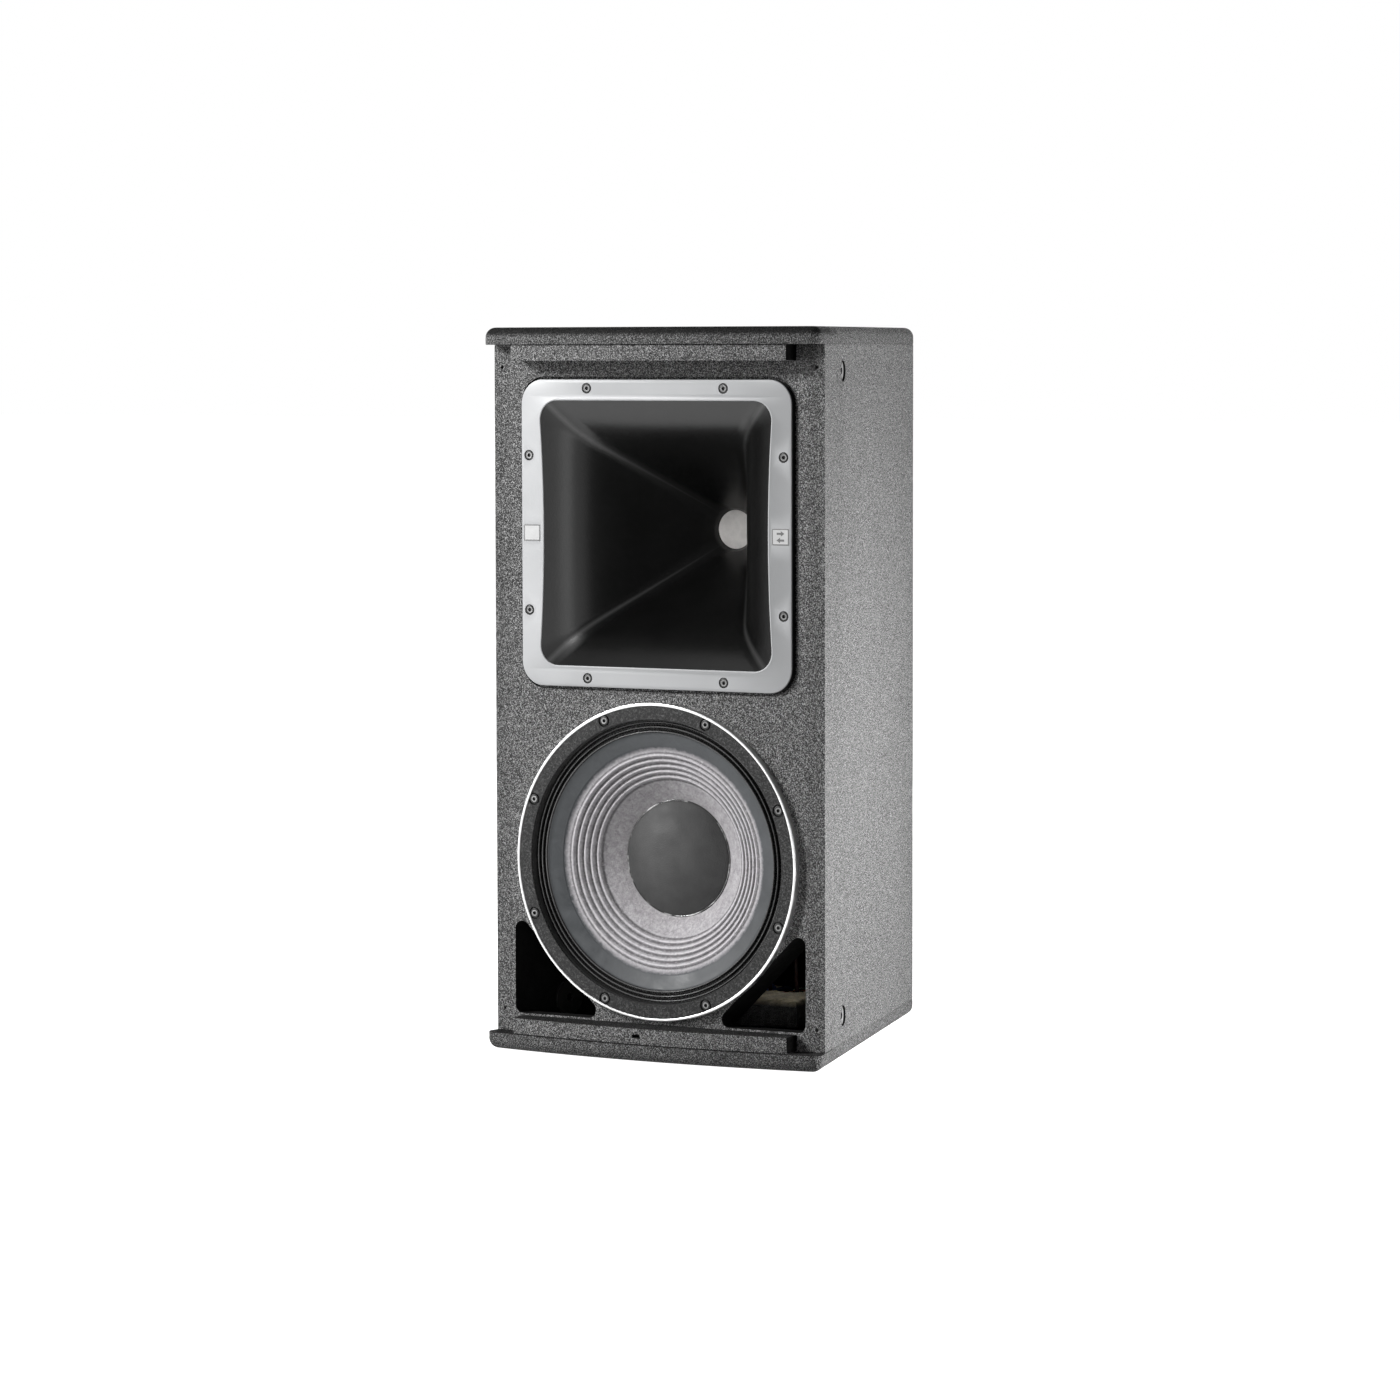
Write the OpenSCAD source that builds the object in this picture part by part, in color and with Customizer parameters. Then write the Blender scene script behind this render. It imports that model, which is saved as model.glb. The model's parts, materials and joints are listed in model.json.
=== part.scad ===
// Two-way loudspeaker cabinet with a tapered plywood box, a square horn and a cone woofer.
// Frame: the front faces -Y, +X is right, +Z is up, and the origin is under the box's middle.
// Depths called "s" are measured backwards from the baffle's front face.

/* [Cabinet] */
// Height over the top and bottom panels
cab_h = 716; // [710:1:726]
// Width across the baffle's front face
front_w = 369; // [366:1:376]
// Depth from the baffle's front face to the rear face
cab_depth = 411; // [405:1:425]
// Taper of each side panel, in degrees
side_angle = 15; // [13:0.5:15]
// Thickness of the plywood panels with their paint
panel_t = 17; // [16:0.5:18]
// How far the top and bottom panels reach in front of the baffle, at the middle
lip_reach = 35; // [32:1:40]
// How far the lips' front edge falls back from its middle to its ends
lip_bow = 16; // [10:1:18]
// Radius on the box's outer edges
edge_r = 10; // [8:0.5:12]
// Height and width of the battens' section that the grille rests on
batten_h = 16; // [14:1:18]
// Half length of the battens
batten_half = 154; // [140:1:160]

/* [Horn] */
// Height of the horn's axis
horn_z = 514; // [512:1:516]
// Outer size of the square flange
flange_w = 302; // [300:1:304]
// Corner radius of the flange
flange_r = 24; // [18:1:28]
// Half width of the mouth
mouth_x = 128.5; // [124:0.5:130]
// Half height of the mouth
mouth_z = 130.5; // [126:0.5:131]
// Depth of the throat behind the baffle's front face
throat_s = 160; // [156:1:170]
// Radius of the throat
throat_r = 19.3; // [17:0.1:20]

/* [Woofer] */
// Height of the woofer's axis
woofer_z = 193.5; // [193:0.5:195]
// Radius of the basket's rim
rim_r = 156.5; // [156:0.1:157]
// Radius of the circle of fixing screws
screw_circle_r = 148.4; // [148:0.1:149]
// Slope of the cone at its outer edge
cone_slope = 0.405; // [0.38:0.005:0.43]
// How much steeper the cone's slope gets per millimetre inwards, halved
cone_flare = 0.0024; // [0.0018:0.0001:0.003]
// Height of the dust cap's dome
cap_rise = 17; // [12:1:20]

/* [Port] */
// Half width from the centre line to the ports' outer edge
port_x = 163.4; // [158:0.1:164]
// Height of the ports' lower edge above the floor
port_floor_z = 35; // [35:1:40]
// Length of the ports' two straight sides before their corners are rounded
port_leg = 103.8; // [90:0.1:104]
// Depth of the port duct behind the baffle's front face
port_depth = 55; // [40:1:60]

/* [Input plate] */
// Height of the input plate's centre
plate_z = 250; // [245:1:260]
// Width of the input plate
plate_w = 100; // [96:1:104]
// Height of the input plate
plate_h = 150; // [145:1:155]
// Depth of the plate's recess
dish_depth = 28; // [26:1:30]

/* [Rigging] */
// Distance of the side points from the top and bottom faces
side_point_inset = 43; // [40:1:50]
// Depth of the side points behind the baffle's front face
side_point_s = 79; // [76:1:90]
// Radius of the threaded holes for M10 eyebolts, at the thread's root
thread_r = 4.25; // [4.2:0.05:5]

/* [Hidden] */

$fn = 96;
round_fn = 32;
eps = 0.01;

// Box geometry in plan
taper = tan(side_angle);
baffle_y = (lip_reach - cab_depth) / 2;
half_front = front_w / 2;
side_run = panel_t / cos(side_angle);
bow_r = (half_front * half_front + lip_bow * lip_bow) / (2 * lip_bow);
inner_top = cab_h - panel_t;
rear_in_s = cab_depth - panel_t;
corner_run = edge_r / cos(side_angle);

// Half widths of the box's outside and inside at depth s
function outer_x(s) = half_front - taper * s;
function inner_x(s) = outer_x(s) - side_run;

// Depth of the lips' front edge, moved in by d, at distance x from the middle
function lip_s(x, d) = bow_r - lip_reach - sqrt((bow_r - d) * (bow_r - d) - x * x);

// Centres of the rounded corners in plan
function front_corner_x(n) =
    n == 0 ? half_front - corner_run
           : half_front - taper * lip_s(front_corner_x(n - 1), edge_r) - corner_run;
front_c = [front_corner_x(4), lip_s(front_corner_x(4), edge_r)];
rear_c = [outer_x(cab_depth - edge_r) - corner_run, cab_depth - edge_r];

// Battens
batten_inset = 2.5;
batten_r = bow_r - batten_inset;
slot_w = 8;
slot_h = 3;
slot_x = -7;

// Grille pilot holes in the side panels' front edges
pilot_r = 1.5;
pilot_depth = 22;
pilot_inset = 39;
pilot_x = half_front - side_run / 2;

// Horn
horn_front_s = -5;
flange_t = 8;
flange_gap = 2.7;
gasket_t = 1.5;
horn_rebate = horn_front_s + flange_t + gasket_t;
horn_cut = 134;
cut_r = 22;
mouth_r = 20;
flare_s = 10;
flare_x = 97;
flare_z = 105;
flare_r = 14;
horn_wall = 4;
screw_near = 76.3;
screw_far = 142.3;
horn_screw_head_r = 4.6;
horn_screw_recess_r = 5.3;
horn_screw_recess = 2.6;
horn_screw_r = 2.4;
horn_screw_tip_s = 15;
badge_x = 139;
badge_w = 18.5;
badge_h = 16;
badge_sink = 0.8;
badge_t = 1;

// Compression driver
bolt_circle_r = 50.8;
bolt_r = 3;
hf_flange_t = 8;
hf_flange_r = 62;
hf_plate_s = throat_s + 12;
hf_gap_s = hf_plate_s + 20;
hf_top_s = hf_gap_s + 10;
hf_pole_r = 37;
hf_dome_s = hf_top_s + 3;
hf_dome_rise = 14;
hf_cover_r = 78;

// Woofer
rim_front_s = -7.8;
flange_front_s = -3.2;
cutout_r = 141.5;
cone_edge_r = 125;
cone_edge_s = 3.9;
coat_inner_r = 113;
landing_r = 140.2;
landing_s = 3.6;
neck_r = 50.6;
cone_t = 1.4;
rib_in_r = 78.7;
rib_out_r = 106.3;
rib_pitch = 5.52;
rib_depth = 1;
ruffle_r = 132.5;
ruffle_pitch = 4.5;
ruffle_mid = 3;
ruffle_height = 1.6;
ruffle_t = 0.6;
cap_r = 57.5;
shelf_s = 60;
motor_s = 82;
magnet_s = motor_s + 10;
back_s = magnet_s + 22;
motor_end_s = back_s + 12;
basket_legs = 8;
leg_angle = 12;
screw_offset = 22.5;
woofer_screws_n = 8;
tee_flange_r = 10;
tee_barrel_r = 4.1;

// Rigging
nut_flange_r = 18;
nut_flange_t = 3;
nut_boss_r = 8;
sink_r = 10.8;
sink_depth = 5.5;
boss_recess = 6;
top_points = [[115, 85], [-115, 85], [45, 345], [-45, 345]];
rear_point_zs = [60, cab_h - 60];
side_point_zs = [side_point_inset, cab_h - side_point_inset];

// Input plate
plate_t = 2;
dish_x = 43;
dish_z = 67;
dish_floor_s = cab_depth - dish_depth;
socket_x = 21;
socket_dz = 40;
strip_dz = -4;
strip_half = 34;
knob_dz = -44;
hinge_r = 1.5;

// Crossover
board_s = [180, 315];
board_half = 58;
board_z = 22;
board_t = 2;
part_z = board_z + board_t;

// ---------- helpers ----------

// Puts a shape whose axis is local Z on a driver's axis, so that local z is the depth s
module on_axis(height) {
    translate([0, baffle_y, height]) rotate([-90, 0, 0]) children();
}

// Moves a plan drawn in [x, s] into the box's frame
module plan(z, h) {
    translate([0, baffle_y, z]) linear_extrude(h) children();
}

module ring(r_in, r_out, s0, s1) {
    translate([0, 0, s0]) difference() {
        cylinder(r = r_out, h = s1 - s0);
        translate([0, 0, -1]) cylinder(r = r_in, h = s1 - s0 + 2);
    }
}

module disc(r, s0, s1) {
    translate([0, 0, s0]) cylinder(r = r, h = s1 - s0);
}

// Rounded rectangle slab with its half sizes, corner radius and depths
module pad(hx, hy, r, s0, s1) {
    translate([0, 0, s0]) linear_extrude(s1 - s0) union() {
        square([2 * hx - 2 * r, 2 * hy], center = true);
        square([2 * hx, 2 * hy - 2 * r], center = true);
        for (x = [r - hx, hx - r], y = [r - hy, hy - r]) translate([x, y]) circle(r);
    }
}

module at_screws_8(r, offset_angle) {
    for (i = [0 : 7]) rotate([0, 0, offset_angle + 45 * i]) translate([r, 0, 0]) children();
}

module at_horn_screws() {
    for (x = [-1, 1], y = [-1, 1]) {
        translate([x * screw_near, y * screw_far, 0]) children();
        translate([x * screw_far, y * screw_near, 0]) children();
    }
}

module at_plate_screws() {
    for (x = [-1, 1], y = [-1, 1])
        translate([x * (plate_w / 2 - 5), y * (plate_h / 2 - 5), cab_depth]) children();
}

// A frame on the right side panel's outer face: local Z points outwards
module on_side(s, z, side) {
    translate([side * outer_x(s), baffle_y + s, z])
        rotate([0, 0, side > 0 ? side_angle : 180 - side_angle])
            rotate([0, 90, 0]) children();
}

// ---------- cabinet ----------

// Half of a box's end panel: a slab whose outer edge is rounded, with its flat inner face at z 0
module lipped_panel() {
    arc_x = [-135, -90, -45, 0, 45, 90, 135];
    difference() {
        rounded_slab(arc_x);
        translate([-front_w, -front_w, -2 * edge_r]) cube([2 * front_w, 3 * front_w, 2 * edge_r]);
    }
}

module rounded_slab(arc_x) {
    hull() {
        for (side = [-1, 1], c = [front_c, rear_c]) translate([side * c.x, c.y, 0]) {
            cylinder(r = edge_r, h = panel_t - edge_r, $fn = round_fn);
            translate([0, 0, panel_t - edge_r]) sphere(edge_r, $fn = round_fn);
        }
        for (x = arc_x) translate([x, lip_s(x, edge_r), 0]) {
            cylinder(r = edge_r, h = panel_t - edge_r, $fn = round_fn);
            translate([0, 0, panel_t - edge_r]) sphere(edge_r, $fn = round_fn);
        }
        translate([0, 0, panel_t - 1]) linear_extrude(1) polygon(concat(
            [for (x = arc_x) [x, lip_s(x, edge_r)]],
            [front_c, rear_c, [-rear_c.x, rear_c.y], [-front_c.x, front_c.y]]
        ));
    }
}

// The stepped hole that takes a rigging nut, sunk from the outer face at z 0 downwards
module rigging_hole() {
    translate([0, 0, -panel_t - 1]) cylinder(r = nut_boss_r, h = panel_t + 2);
    translate([0, 0, -sink_depth]) cylinder(r1 = nut_boss_r - eps, r2 = sink_r, h = sink_depth + eps);
}

module end_panel() {
    difference() {
        lipped_panel();
        for (p = top_points) translate([p.x, p.y, panel_t]) rigging_hole();
    }
}

module top_panel() {
    color("#55565a") translate([0, baffle_y, inner_top]) end_panel();
}

module bottom_panel() {
    color("#55565a") translate([0, baffle_y, panel_t]) mirror([0, 0, 1]) end_panel();
}

module side_plan() {
    polygon([
        [half_front, 0],
        [rear_c.x + edge_r * cos(side_angle), rear_c.y + edge_r * sin(side_angle)],
        rear_c,
        [rear_c.x, cab_depth],
        [inner_x(cab_depth), cab_depth],
        [inner_x(0), 0]
    ]);
    translate(rear_c) intersection() {
        circle(edge_r);
        square(edge_r + 1);
    }
}

module side_panel() {
    difference() {
        plan(panel_t, cab_h - 2 * panel_t) side_plan();
        for (z = side_point_zs) on_side(side_point_s, z, 1) rigging_hole();
        for (z = [pilot_inset, cab_h - pilot_inset])
            translate([pilot_x, baffle_y - 1, z]) rotate([-90, 0, 0])
                cylinder(r = pilot_r, h = pilot_depth + 1);
    }
}

module right_side_panel() {
    color("#8b8c8f") side_panel();
}

module left_side_panel() {
    color("#8b8c8f") mirror([1, 0, 0]) side_panel();
}

module rear_panel() {
    color("#55565a") difference() {
        plan(panel_t, cab_h - 2 * panel_t) polygon([
            [-inner_x(rear_in_s), rear_in_s], [inner_x(rear_in_s), rear_in_s],
            [inner_x(cab_depth), cab_depth], [-inner_x(cab_depth), cab_depth]
        ]);
        on_axis(plate_z) {
            pad(plate_w / 2, plate_h / 2, 6, cab_depth - plate_t, cab_depth + 1);
            pad(dish_x + plate_t + 0.5, dish_z + plate_t + 0.5, 5, rear_in_s - 1, cab_depth);
            at_plate_screws() translate([0, 0, -16]) cylinder(r = 1.3, h = 16);
        }
        for (z = rear_point_zs) on_axis(z) translate([0, 0, cab_depth]) rigging_hole();
    }
}

// Triangular port outline on the right, in [x, height] about the woofer's axis, down being +y
module port_outline() {
    corner_r = 8;
    foot = woofer_z - port_floor_z;
    near = corner_r * (1 + sqrt(2));
    corners = [
        [port_x - corner_r, foot - corner_r],
        [port_x - port_leg + near, foot - corner_r],
        [port_x - corner_r, foot - port_leg + near]
    ];
    reach = corner_r / sqrt(2);
    polygon([
        [corners[0].x, foot], [corners[1].x, foot],
        [corners[1].x, corners[1].y],
        [corners[1].x - reach, corners[1].y - reach],
        [corners[2].x - reach, corners[2].y - reach],
        [corners[2].x, corners[2].y],
        [port_x, corners[2].y], [port_x, corners[0].y], corners[0]
    ]);
    for (c = corners) translate(c) circle(corner_r);
}

module front_baffle() {
    color("#626367") difference() {
        plan(panel_t, cab_h - 2 * panel_t) polygon([
            [-inner_x(0), 0], [inner_x(0), 0],
            [inner_x(panel_t), panel_t], [-inner_x(panel_t), panel_t]
        ]);
        on_axis(woofer_z) {
            disc(cutout_r, -1, panel_t + 1);
            at_screws_8(screw_circle_r, screw_offset) disc(tee_barrel_r, -1, panel_t + 1);
            for (side = [0, 1]) mirror([side, 0, 0])
                translate([0, 0, -1]) linear_extrude(panel_t + 2) port_outline();
        }
        on_axis(horn_z) {
            half = flange_w / 2 + flange_gap;
            pad(half, half, flange_r + flange_gap, -1, horn_rebate);
            pad(horn_cut, horn_cut, cut_r, -1, panel_t + 1);
            at_horn_screws() disc(horn_screw_r + 0.05, -1, horn_screw_tip_s + 1);
        }
    }
}

module batten(z) {
    plan(z, batten_h) intersection() {
        translate([0, bow_r - lip_reach]) circle(batten_r, $fn = 360);
        translate([-batten_half, -lip_reach]) square([2 * batten_half, lip_reach]);
    }
}

module upper_grille_batten() {
    color("#737478") batten(inner_top - batten_h);
}

module lower_grille_batten() {
    color("#737478") difference() {
        batten(panel_t);
        translate([slot_x - slot_w / 2, baffle_y - lip_reach, panel_t + batten_h / 2 - slot_h / 2])
            cube([slot_w, lip_reach - 14, slot_h]);
    }
}

// Sloping board behind the baffle that closes the port's long side
module port_board() {
    board = 9;
    run = board * sqrt(2);
    edge = port_x - port_leg + woofer_z - port_floor_z;
    floor_y = woofer_z - panel_t;
    intersection() {
        on_axis(woofer_z) translate([0, 0, panel_t]) linear_extrude(port_depth - panel_t)
            polygon([
                [edge - floor_y, floor_y], [edge - floor_y - run, floor_y],
                [half_front, edge - half_front - run], [half_front, edge - half_front]
            ]);
        plan(panel_t, cab_h) polygon([
            [0, panel_t], [inner_x(panel_t), panel_t],
            [inner_x(port_depth), port_depth], [0, port_depth]
        ]);
    }
}

module right_port_board() {
    color("#1c1c1e") port_board();
}

module left_port_board() {
    color("#1c1c1e") mirror([1, 0, 0]) port_board();
}

module window_brace() {
    window_half = 62;
    brace_z = 347;
    color("#b79a6b") difference() {
        plan(brace_z, panel_t) polygon([
            [-inner_x(panel_t), panel_t], [inner_x(panel_t), panel_t],
            [inner_x(rear_in_s), rear_in_s], [-inner_x(rear_in_s), rear_in_s]
        ]);
        plan(brace_z - 1, panel_t + 2) translate([0, 185]) union() {
            square([2 * window_half, 180], center = true);
            square([2 * window_half - 40, 220], center = true);
            for (x = [20 - window_half, window_half - 20], y = [-90, 90])
                translate([x, y]) circle(20);
        }
    }
}

module corner_cleats() {
    strip = 16;
    cleat_z = 372;
    cleat_h = 318;
    color("#b79a6b") for (side = [0, 1]) mirror([side, 0, 0]) plan(cleat_z, cleat_h) {
        polygon([
            [inner_x(panel_t) - strip, panel_t], [inner_x(panel_t), panel_t],
            [inner_x(panel_t + strip), panel_t + strip],
            [inner_x(panel_t) - strip, panel_t + strip]
        ]);
        polygon([
            [inner_x(rear_in_s) - strip, rear_in_s], [inner_x(rear_in_s), rear_in_s],
            [inner_x(rear_in_s - strip), rear_in_s - strip],
            [inner_x(rear_in_s) - strip, rear_in_s - strip]
        ]);
    }
}

// Fibre mats against the side panels, below and above the brace
module side_linings() {
    mat = 20;
    near_s = 112;
    far_s = 366;
    color("#8d7f4e") for (side = [0, 1]) mirror([side, 0, 0])
        for (z = [42, 372]) plan(z, z < 100 ? 296 : 300) polygon([
            [inner_x(near_s) - mat, near_s], [inner_x(near_s), near_s],
            [inner_x(far_s), far_s], [inner_x(far_s) - mat, far_s]
        ]);
}

module rear_lining() {
    mat = 18;
    color("#8d7f4e") {
        plan(86, 80) translate([-34, rear_in_s - mat]) square([68, mat]);
        plan(372, 250) translate([-34, rear_in_s - mat]) square([68, mat]);
    }
}

module floor_lining() {
    color("#8d7f4e") plan(panel_t, 36) polygon([[-96, 110], [96, 110], [90, 172], [-90, 172]]);
}

// ---------- horn ----------

module horn_bell(grow, s_throat, s_mouth, hx, hz, r) {
    hull() {
        disc(throat_r + grow, s_throat - eps, s_throat);
        pad(flare_x + grow, flare_z + grow, flare_r + grow, flare_s, flare_s + eps);
    }
    hull() {
        pad(flare_x + grow, flare_z + grow, flare_r + grow, flare_s, flare_s + eps);
        pad(hx, hz, r, s_mouth, s_mouth + eps);
    }
}

module horn() {
    half = flange_w / 2;
    flange_back = horn_front_s + flange_t;
    color("#c9cacc") on_axis(horn_z) difference() {
        union() {
            pad(half, half, flange_r, horn_front_s, flange_back);
            horn_bell(horn_wall, throat_s, flange_back - 1, mouth_x - 1, mouth_z - 1, mouth_r);
            disc(hf_flange_r, throat_s - hf_flange_t, throat_s);
        }
        horn_bell(0, throat_s + 2 * eps, horn_front_s - eps, mouth_x, mouth_z, mouth_r);
        at_horn_screws() {
            disc(horn_screw_r + 0.5, horn_front_s - 1, flange_back + 1);
            disc(horn_screw_recess_r, horn_front_s - 1, horn_front_s + horn_screw_recess);
        }
        for (x = [-1, 1]) translate([x * badge_x, 0, horn_front_s - 1])
            linear_extrude(1 + badge_sink) square([badge_w + 0.4, badge_h + 0.4], center = true);
        for (a = [45 : 90 : 315]) rotate([0, 0, a]) translate([bolt_circle_r, 0, 0])
            disc(bolt_r + 0.3, throat_s - hf_flange_t - 1, throat_s + 1);
    }
}

module horn_gasket() {
    outer = flange_w / 2 - 1;
    inner = horn_cut + 1;
    color("#232324") on_axis(horn_z) difference() {
        pad(outer, outer, flange_r - 1, horn_front_s + flange_t, horn_rebate);
        pad(inner, inner, cut_r, horn_front_s, horn_rebate + 1);
        at_horn_screws() disc(horn_screw_r + 0.5, horn_front_s, horn_rebate + 1);
    }
}

module horn_screws() {
    seat = horn_front_s + horn_screw_recess;
    color("#1a1a1b") on_axis(horn_z) at_horn_screws() difference() {
        union() {
            disc(horn_screw_head_r, horn_front_s + 0.1, seat);
            disc(horn_screw_r, seat - eps, horn_screw_tip_s - 4);
            translate([0, 0, horn_screw_tip_s - 4]) cylinder(r1 = horn_screw_r, r2 = 0.4, h = 4);
        }
        translate([0, 0, horn_front_s - 1]) cylinder(r = 2, h = 2.8, $fn = 6);
    }
}

module badge(side) {
    on_axis(horn_z) translate([side * badge_x, 0, horn_front_s + badge_sink - badge_t])
        linear_extrude(badge_t) square([badge_w, badge_h], center = true);
}

module left_badge() {
    color("#eeeeee") badge(-1);
}

module right_badge() {
    color("#eeeeee") badge(1);
}

module throat_screen() {
    color("#b4b4b0") on_axis(horn_z) disc(throat_r + 0.2, throat_s + 0.2, throat_s + 0.8);
}

// ---------- compression driver ----------

module hf_pole_plate() {
    bore_s = throat_s + 20;
    color("#2a2b2e") on_axis(horn_z) difference() {
        union() {
            disc(80, throat_s, hf_plate_s);
            disc(hf_pole_r, hf_plate_s - eps, hf_top_s);
        }
        disc(throat_r + 0.3, throat_s - 1, throat_s + 1);
        translate([0, 0, throat_s + 1 - eps])
            cylinder(r1 = throat_r, r2 = 27, h = bore_s - throat_s - 1 + 2 * eps);
        disc(33, bore_s, hf_top_s + 1);
        for (a = [45 : 90 : 315]) rotate([0, 0, a]) translate([bolt_circle_r, 0, 0])
            disc(bolt_r + 0.05, throat_s - 1, hf_plate_s - 2);
    }
}

module hf_magnet() {
    color("#38393c") on_axis(horn_z) ring(46, 84, hf_plate_s, hf_gap_s);
}

module hf_top_plate() {
    color("#2a2b2e") on_axis(horn_z) ring(38.8, 80, hf_gap_s, hf_top_s);
}

// Bullet and outer ring joined by three fins, with a domed back that follows the diaphragm
module hf_phase_plug() {
    dome_r = 52;
    dome_c = hf_top_s + 13 - dome_r;
    function dome(r) = dome_c + sqrt(dome_r * dome_r - r * r);
    color("#9a9ca0") on_axis(horn_z) {
        rotate_extrude() polygon(concat(
            [[0, throat_s + 8], [19, throat_s + 24]],
            [for (r = [19 : -3.8 : 0]) [r, dome(r)]]
        ));
        rotate_extrude() polygon(concat(
            [[32.95, throat_s + 20.1], [32.95, dome(32.95)]],
            [for (r = [31 : -2 : 25]) [r, dome(r)]],
            [[25, throat_s + 24], [28, throat_s + 20.1]]
        ));
        for (i = [0 : 2]) rotate([0, 0, 120 * i - 4]) rotate_extrude(angle = 8)
            translate([18.5, throat_s + 25]) square([7, 12]);
    }
}

module hf_voice_coil() {
    color("#b87b4b") on_axis(horn_z) ring(37.5, 38.2, hf_gap_s + 3, hf_dome_s);
}

module hf_diaphragm() {
    shell = 0.4;
    rim = 38.2;
    dome_r = (rim * rim + hf_dome_rise * hf_dome_rise) / (2 * hf_dome_rise);
    function dome(r) = hf_dome_s + hf_dome_rise - dome_r + sqrt(dome_r * dome_r - r * r);
    steps = [for (i = [0 : 10]) rim * i / 10];
    color("#c8ccd2") on_axis(horn_z) rotate_extrude() polygon(concat(
        [for (r = steps) [r, dome(r)]],
        [for (i = [10 : -1 : 0]) [steps[i], dome(steps[i]) + shell]]
    ));
}

module hf_surround() {
    steps = [for (i = [0 : 8]) i / 8];
    function roll(t) = hf_dome_s + 0.8 * sin(180 * t);
    color("#c8ccd2") on_axis(horn_z) rotate_extrude() polygon(concat(
        [for (t = steps) [38.3 + 4.7 * t, roll(t)]],
        [[50, hf_dome_s], [50, hf_dome_s + 0.3]],
        [for (i = [8 : -1 : 0]) [38.3 + 4.7 * steps[i], roll(steps[i]) + 0.3]]
    ));
}

module hf_clamp_ring() {
    color("#55565a") on_axis(horn_z) ring(42.8, 70.5, hf_top_s, hf_dome_s);
}

module hf_back_cover() {
    cover_end = hf_top_s + 42;
    color("#242528") on_axis(horn_z) difference() {
        union() {
            disc(hf_cover_r, hf_top_s, cover_end - 12);
            translate([0, 0, cover_end - 12]) cylinder(r1 = hf_cover_r, r2 = hf_cover_r - 6, h = 12);
        }
        disc(72, hf_top_s - 1, cover_end - 6);
    }
}

module hf_driver_bolts() {
    head_s = throat_s - hf_flange_t;
    color("#3a3a3c") on_axis(horn_z)
        for (a = [45 : 90 : 315]) rotate([0, 0, a]) translate([bolt_circle_r, 0, 0]) difference() {
            union() {
                disc(5, head_s - 6, head_s);
                disc(bolt_r, head_s - eps, hf_plate_s - 2.5);
            }
            translate([0, 0, head_s - 7]) cylinder(r = 2.9, h = 4, $fn = 6);
        }
}

module hf_terminals() {
    color("#b08a3c") on_axis(horn_z) difference() {
        translate([-16, hf_cover_r - 6, hf_top_s + 8]) cube([32, 18, 16]);
        disc(hf_cover_r, hf_top_s, hf_top_s + 42);
    }
}

// ---------- woofer ----------

function cone_front(r) = let (d = cone_edge_r - r) cone_edge_s + cone_slope * d + cone_flare * d * d;

// Front face of the ribbed zone: shallow rounded ribs standing on the plain cone
function rib(r) = rib_depth * (1 - cos(360 * (r - rib_in_r) / rib_pitch)) / 2;

module woofer_cone() {
    ribs_n = round((rib_out_r - rib_in_r) / rib_pitch) * 6;
    rib_rs = [for (i = [0 : ribs_n]) rib_out_r - (rib_out_r - rib_in_r) * i / ribs_n];
    plain_rs = [rib_in_r - 7, rib_in_r - 14, rib_in_r - 21];
    back_rs = concat([neck_r], [for (r = [56 : 9 : 119]) r], [cone_edge_r]);
    color("#9fa0a6") on_axis(woofer_z) rotate_extrude() polygon(concat(
        [for (r = [cone_edge_r, 119, 113]) [r, cone_front(r)]],
        [for (r = rib_rs) [r, cone_front(r) - rib(r)]],
        [for (r = plain_rs) [r, cone_front(r)]],
        [[neck_r, cone_front(neck_r)]],
        [for (r = back_rs) [r, cone_front(r) + cone_t]]
    ));
}

module woofer_dust_cap() {
    shell = 0.8;
    base_s = cone_front(cap_r) - shell - 0.1;
    dome_r = (cap_r * cap_r + cap_rise * cap_rise) / (2 * cap_rise);
    function dome(r) = base_s + dome_r - cap_rise - sqrt(dome_r * dome_r - r * r);
    steps = [for (i = [0 : 12]) cap_r * i / 12];
    color("#46474b") on_axis(woofer_z) rotate_extrude() polygon(concat(
        [for (r = steps) [r, dome(r)]],
        [for (i = [12 : -1 : 0]) [steps[i], dome(steps[i]) + shell]]
    ));
}

// Pleated surround from the coated band on the cone to its landing on the basket
module woofer_surround() {
    function pleat(r) = ruffle_mid - ruffle_height * cos(360 * (r - ruffle_r) / ruffle_pitch);
    half_run = 1.25 * ruffle_pitch;
    steps = [for (i = [0 : 30]) ruffle_r + half_run * (i / 15 - 1)];
    coat_rs = [for (r = [coat_inner_r : 6 : cone_edge_r]) r];
    color("#3b3c3f") on_axis(woofer_z) rotate_extrude() polygon(concat(
        [for (i = [2 : -1 : 0]) [coat_rs[i], cone_front(coat_rs[i])]],
        [for (r = coat_rs) [r, cone_front(r) - 0.4]],
        [for (r = steps) [r, pleat(r)]],
        [[landing_r, landing_s - ruffle_t], [landing_r, landing_s]],
        [for (i = [30 : -1 : 0]) [steps[i], pleat(steps[i]) + ruffle_t]]
    ));
}

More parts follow.
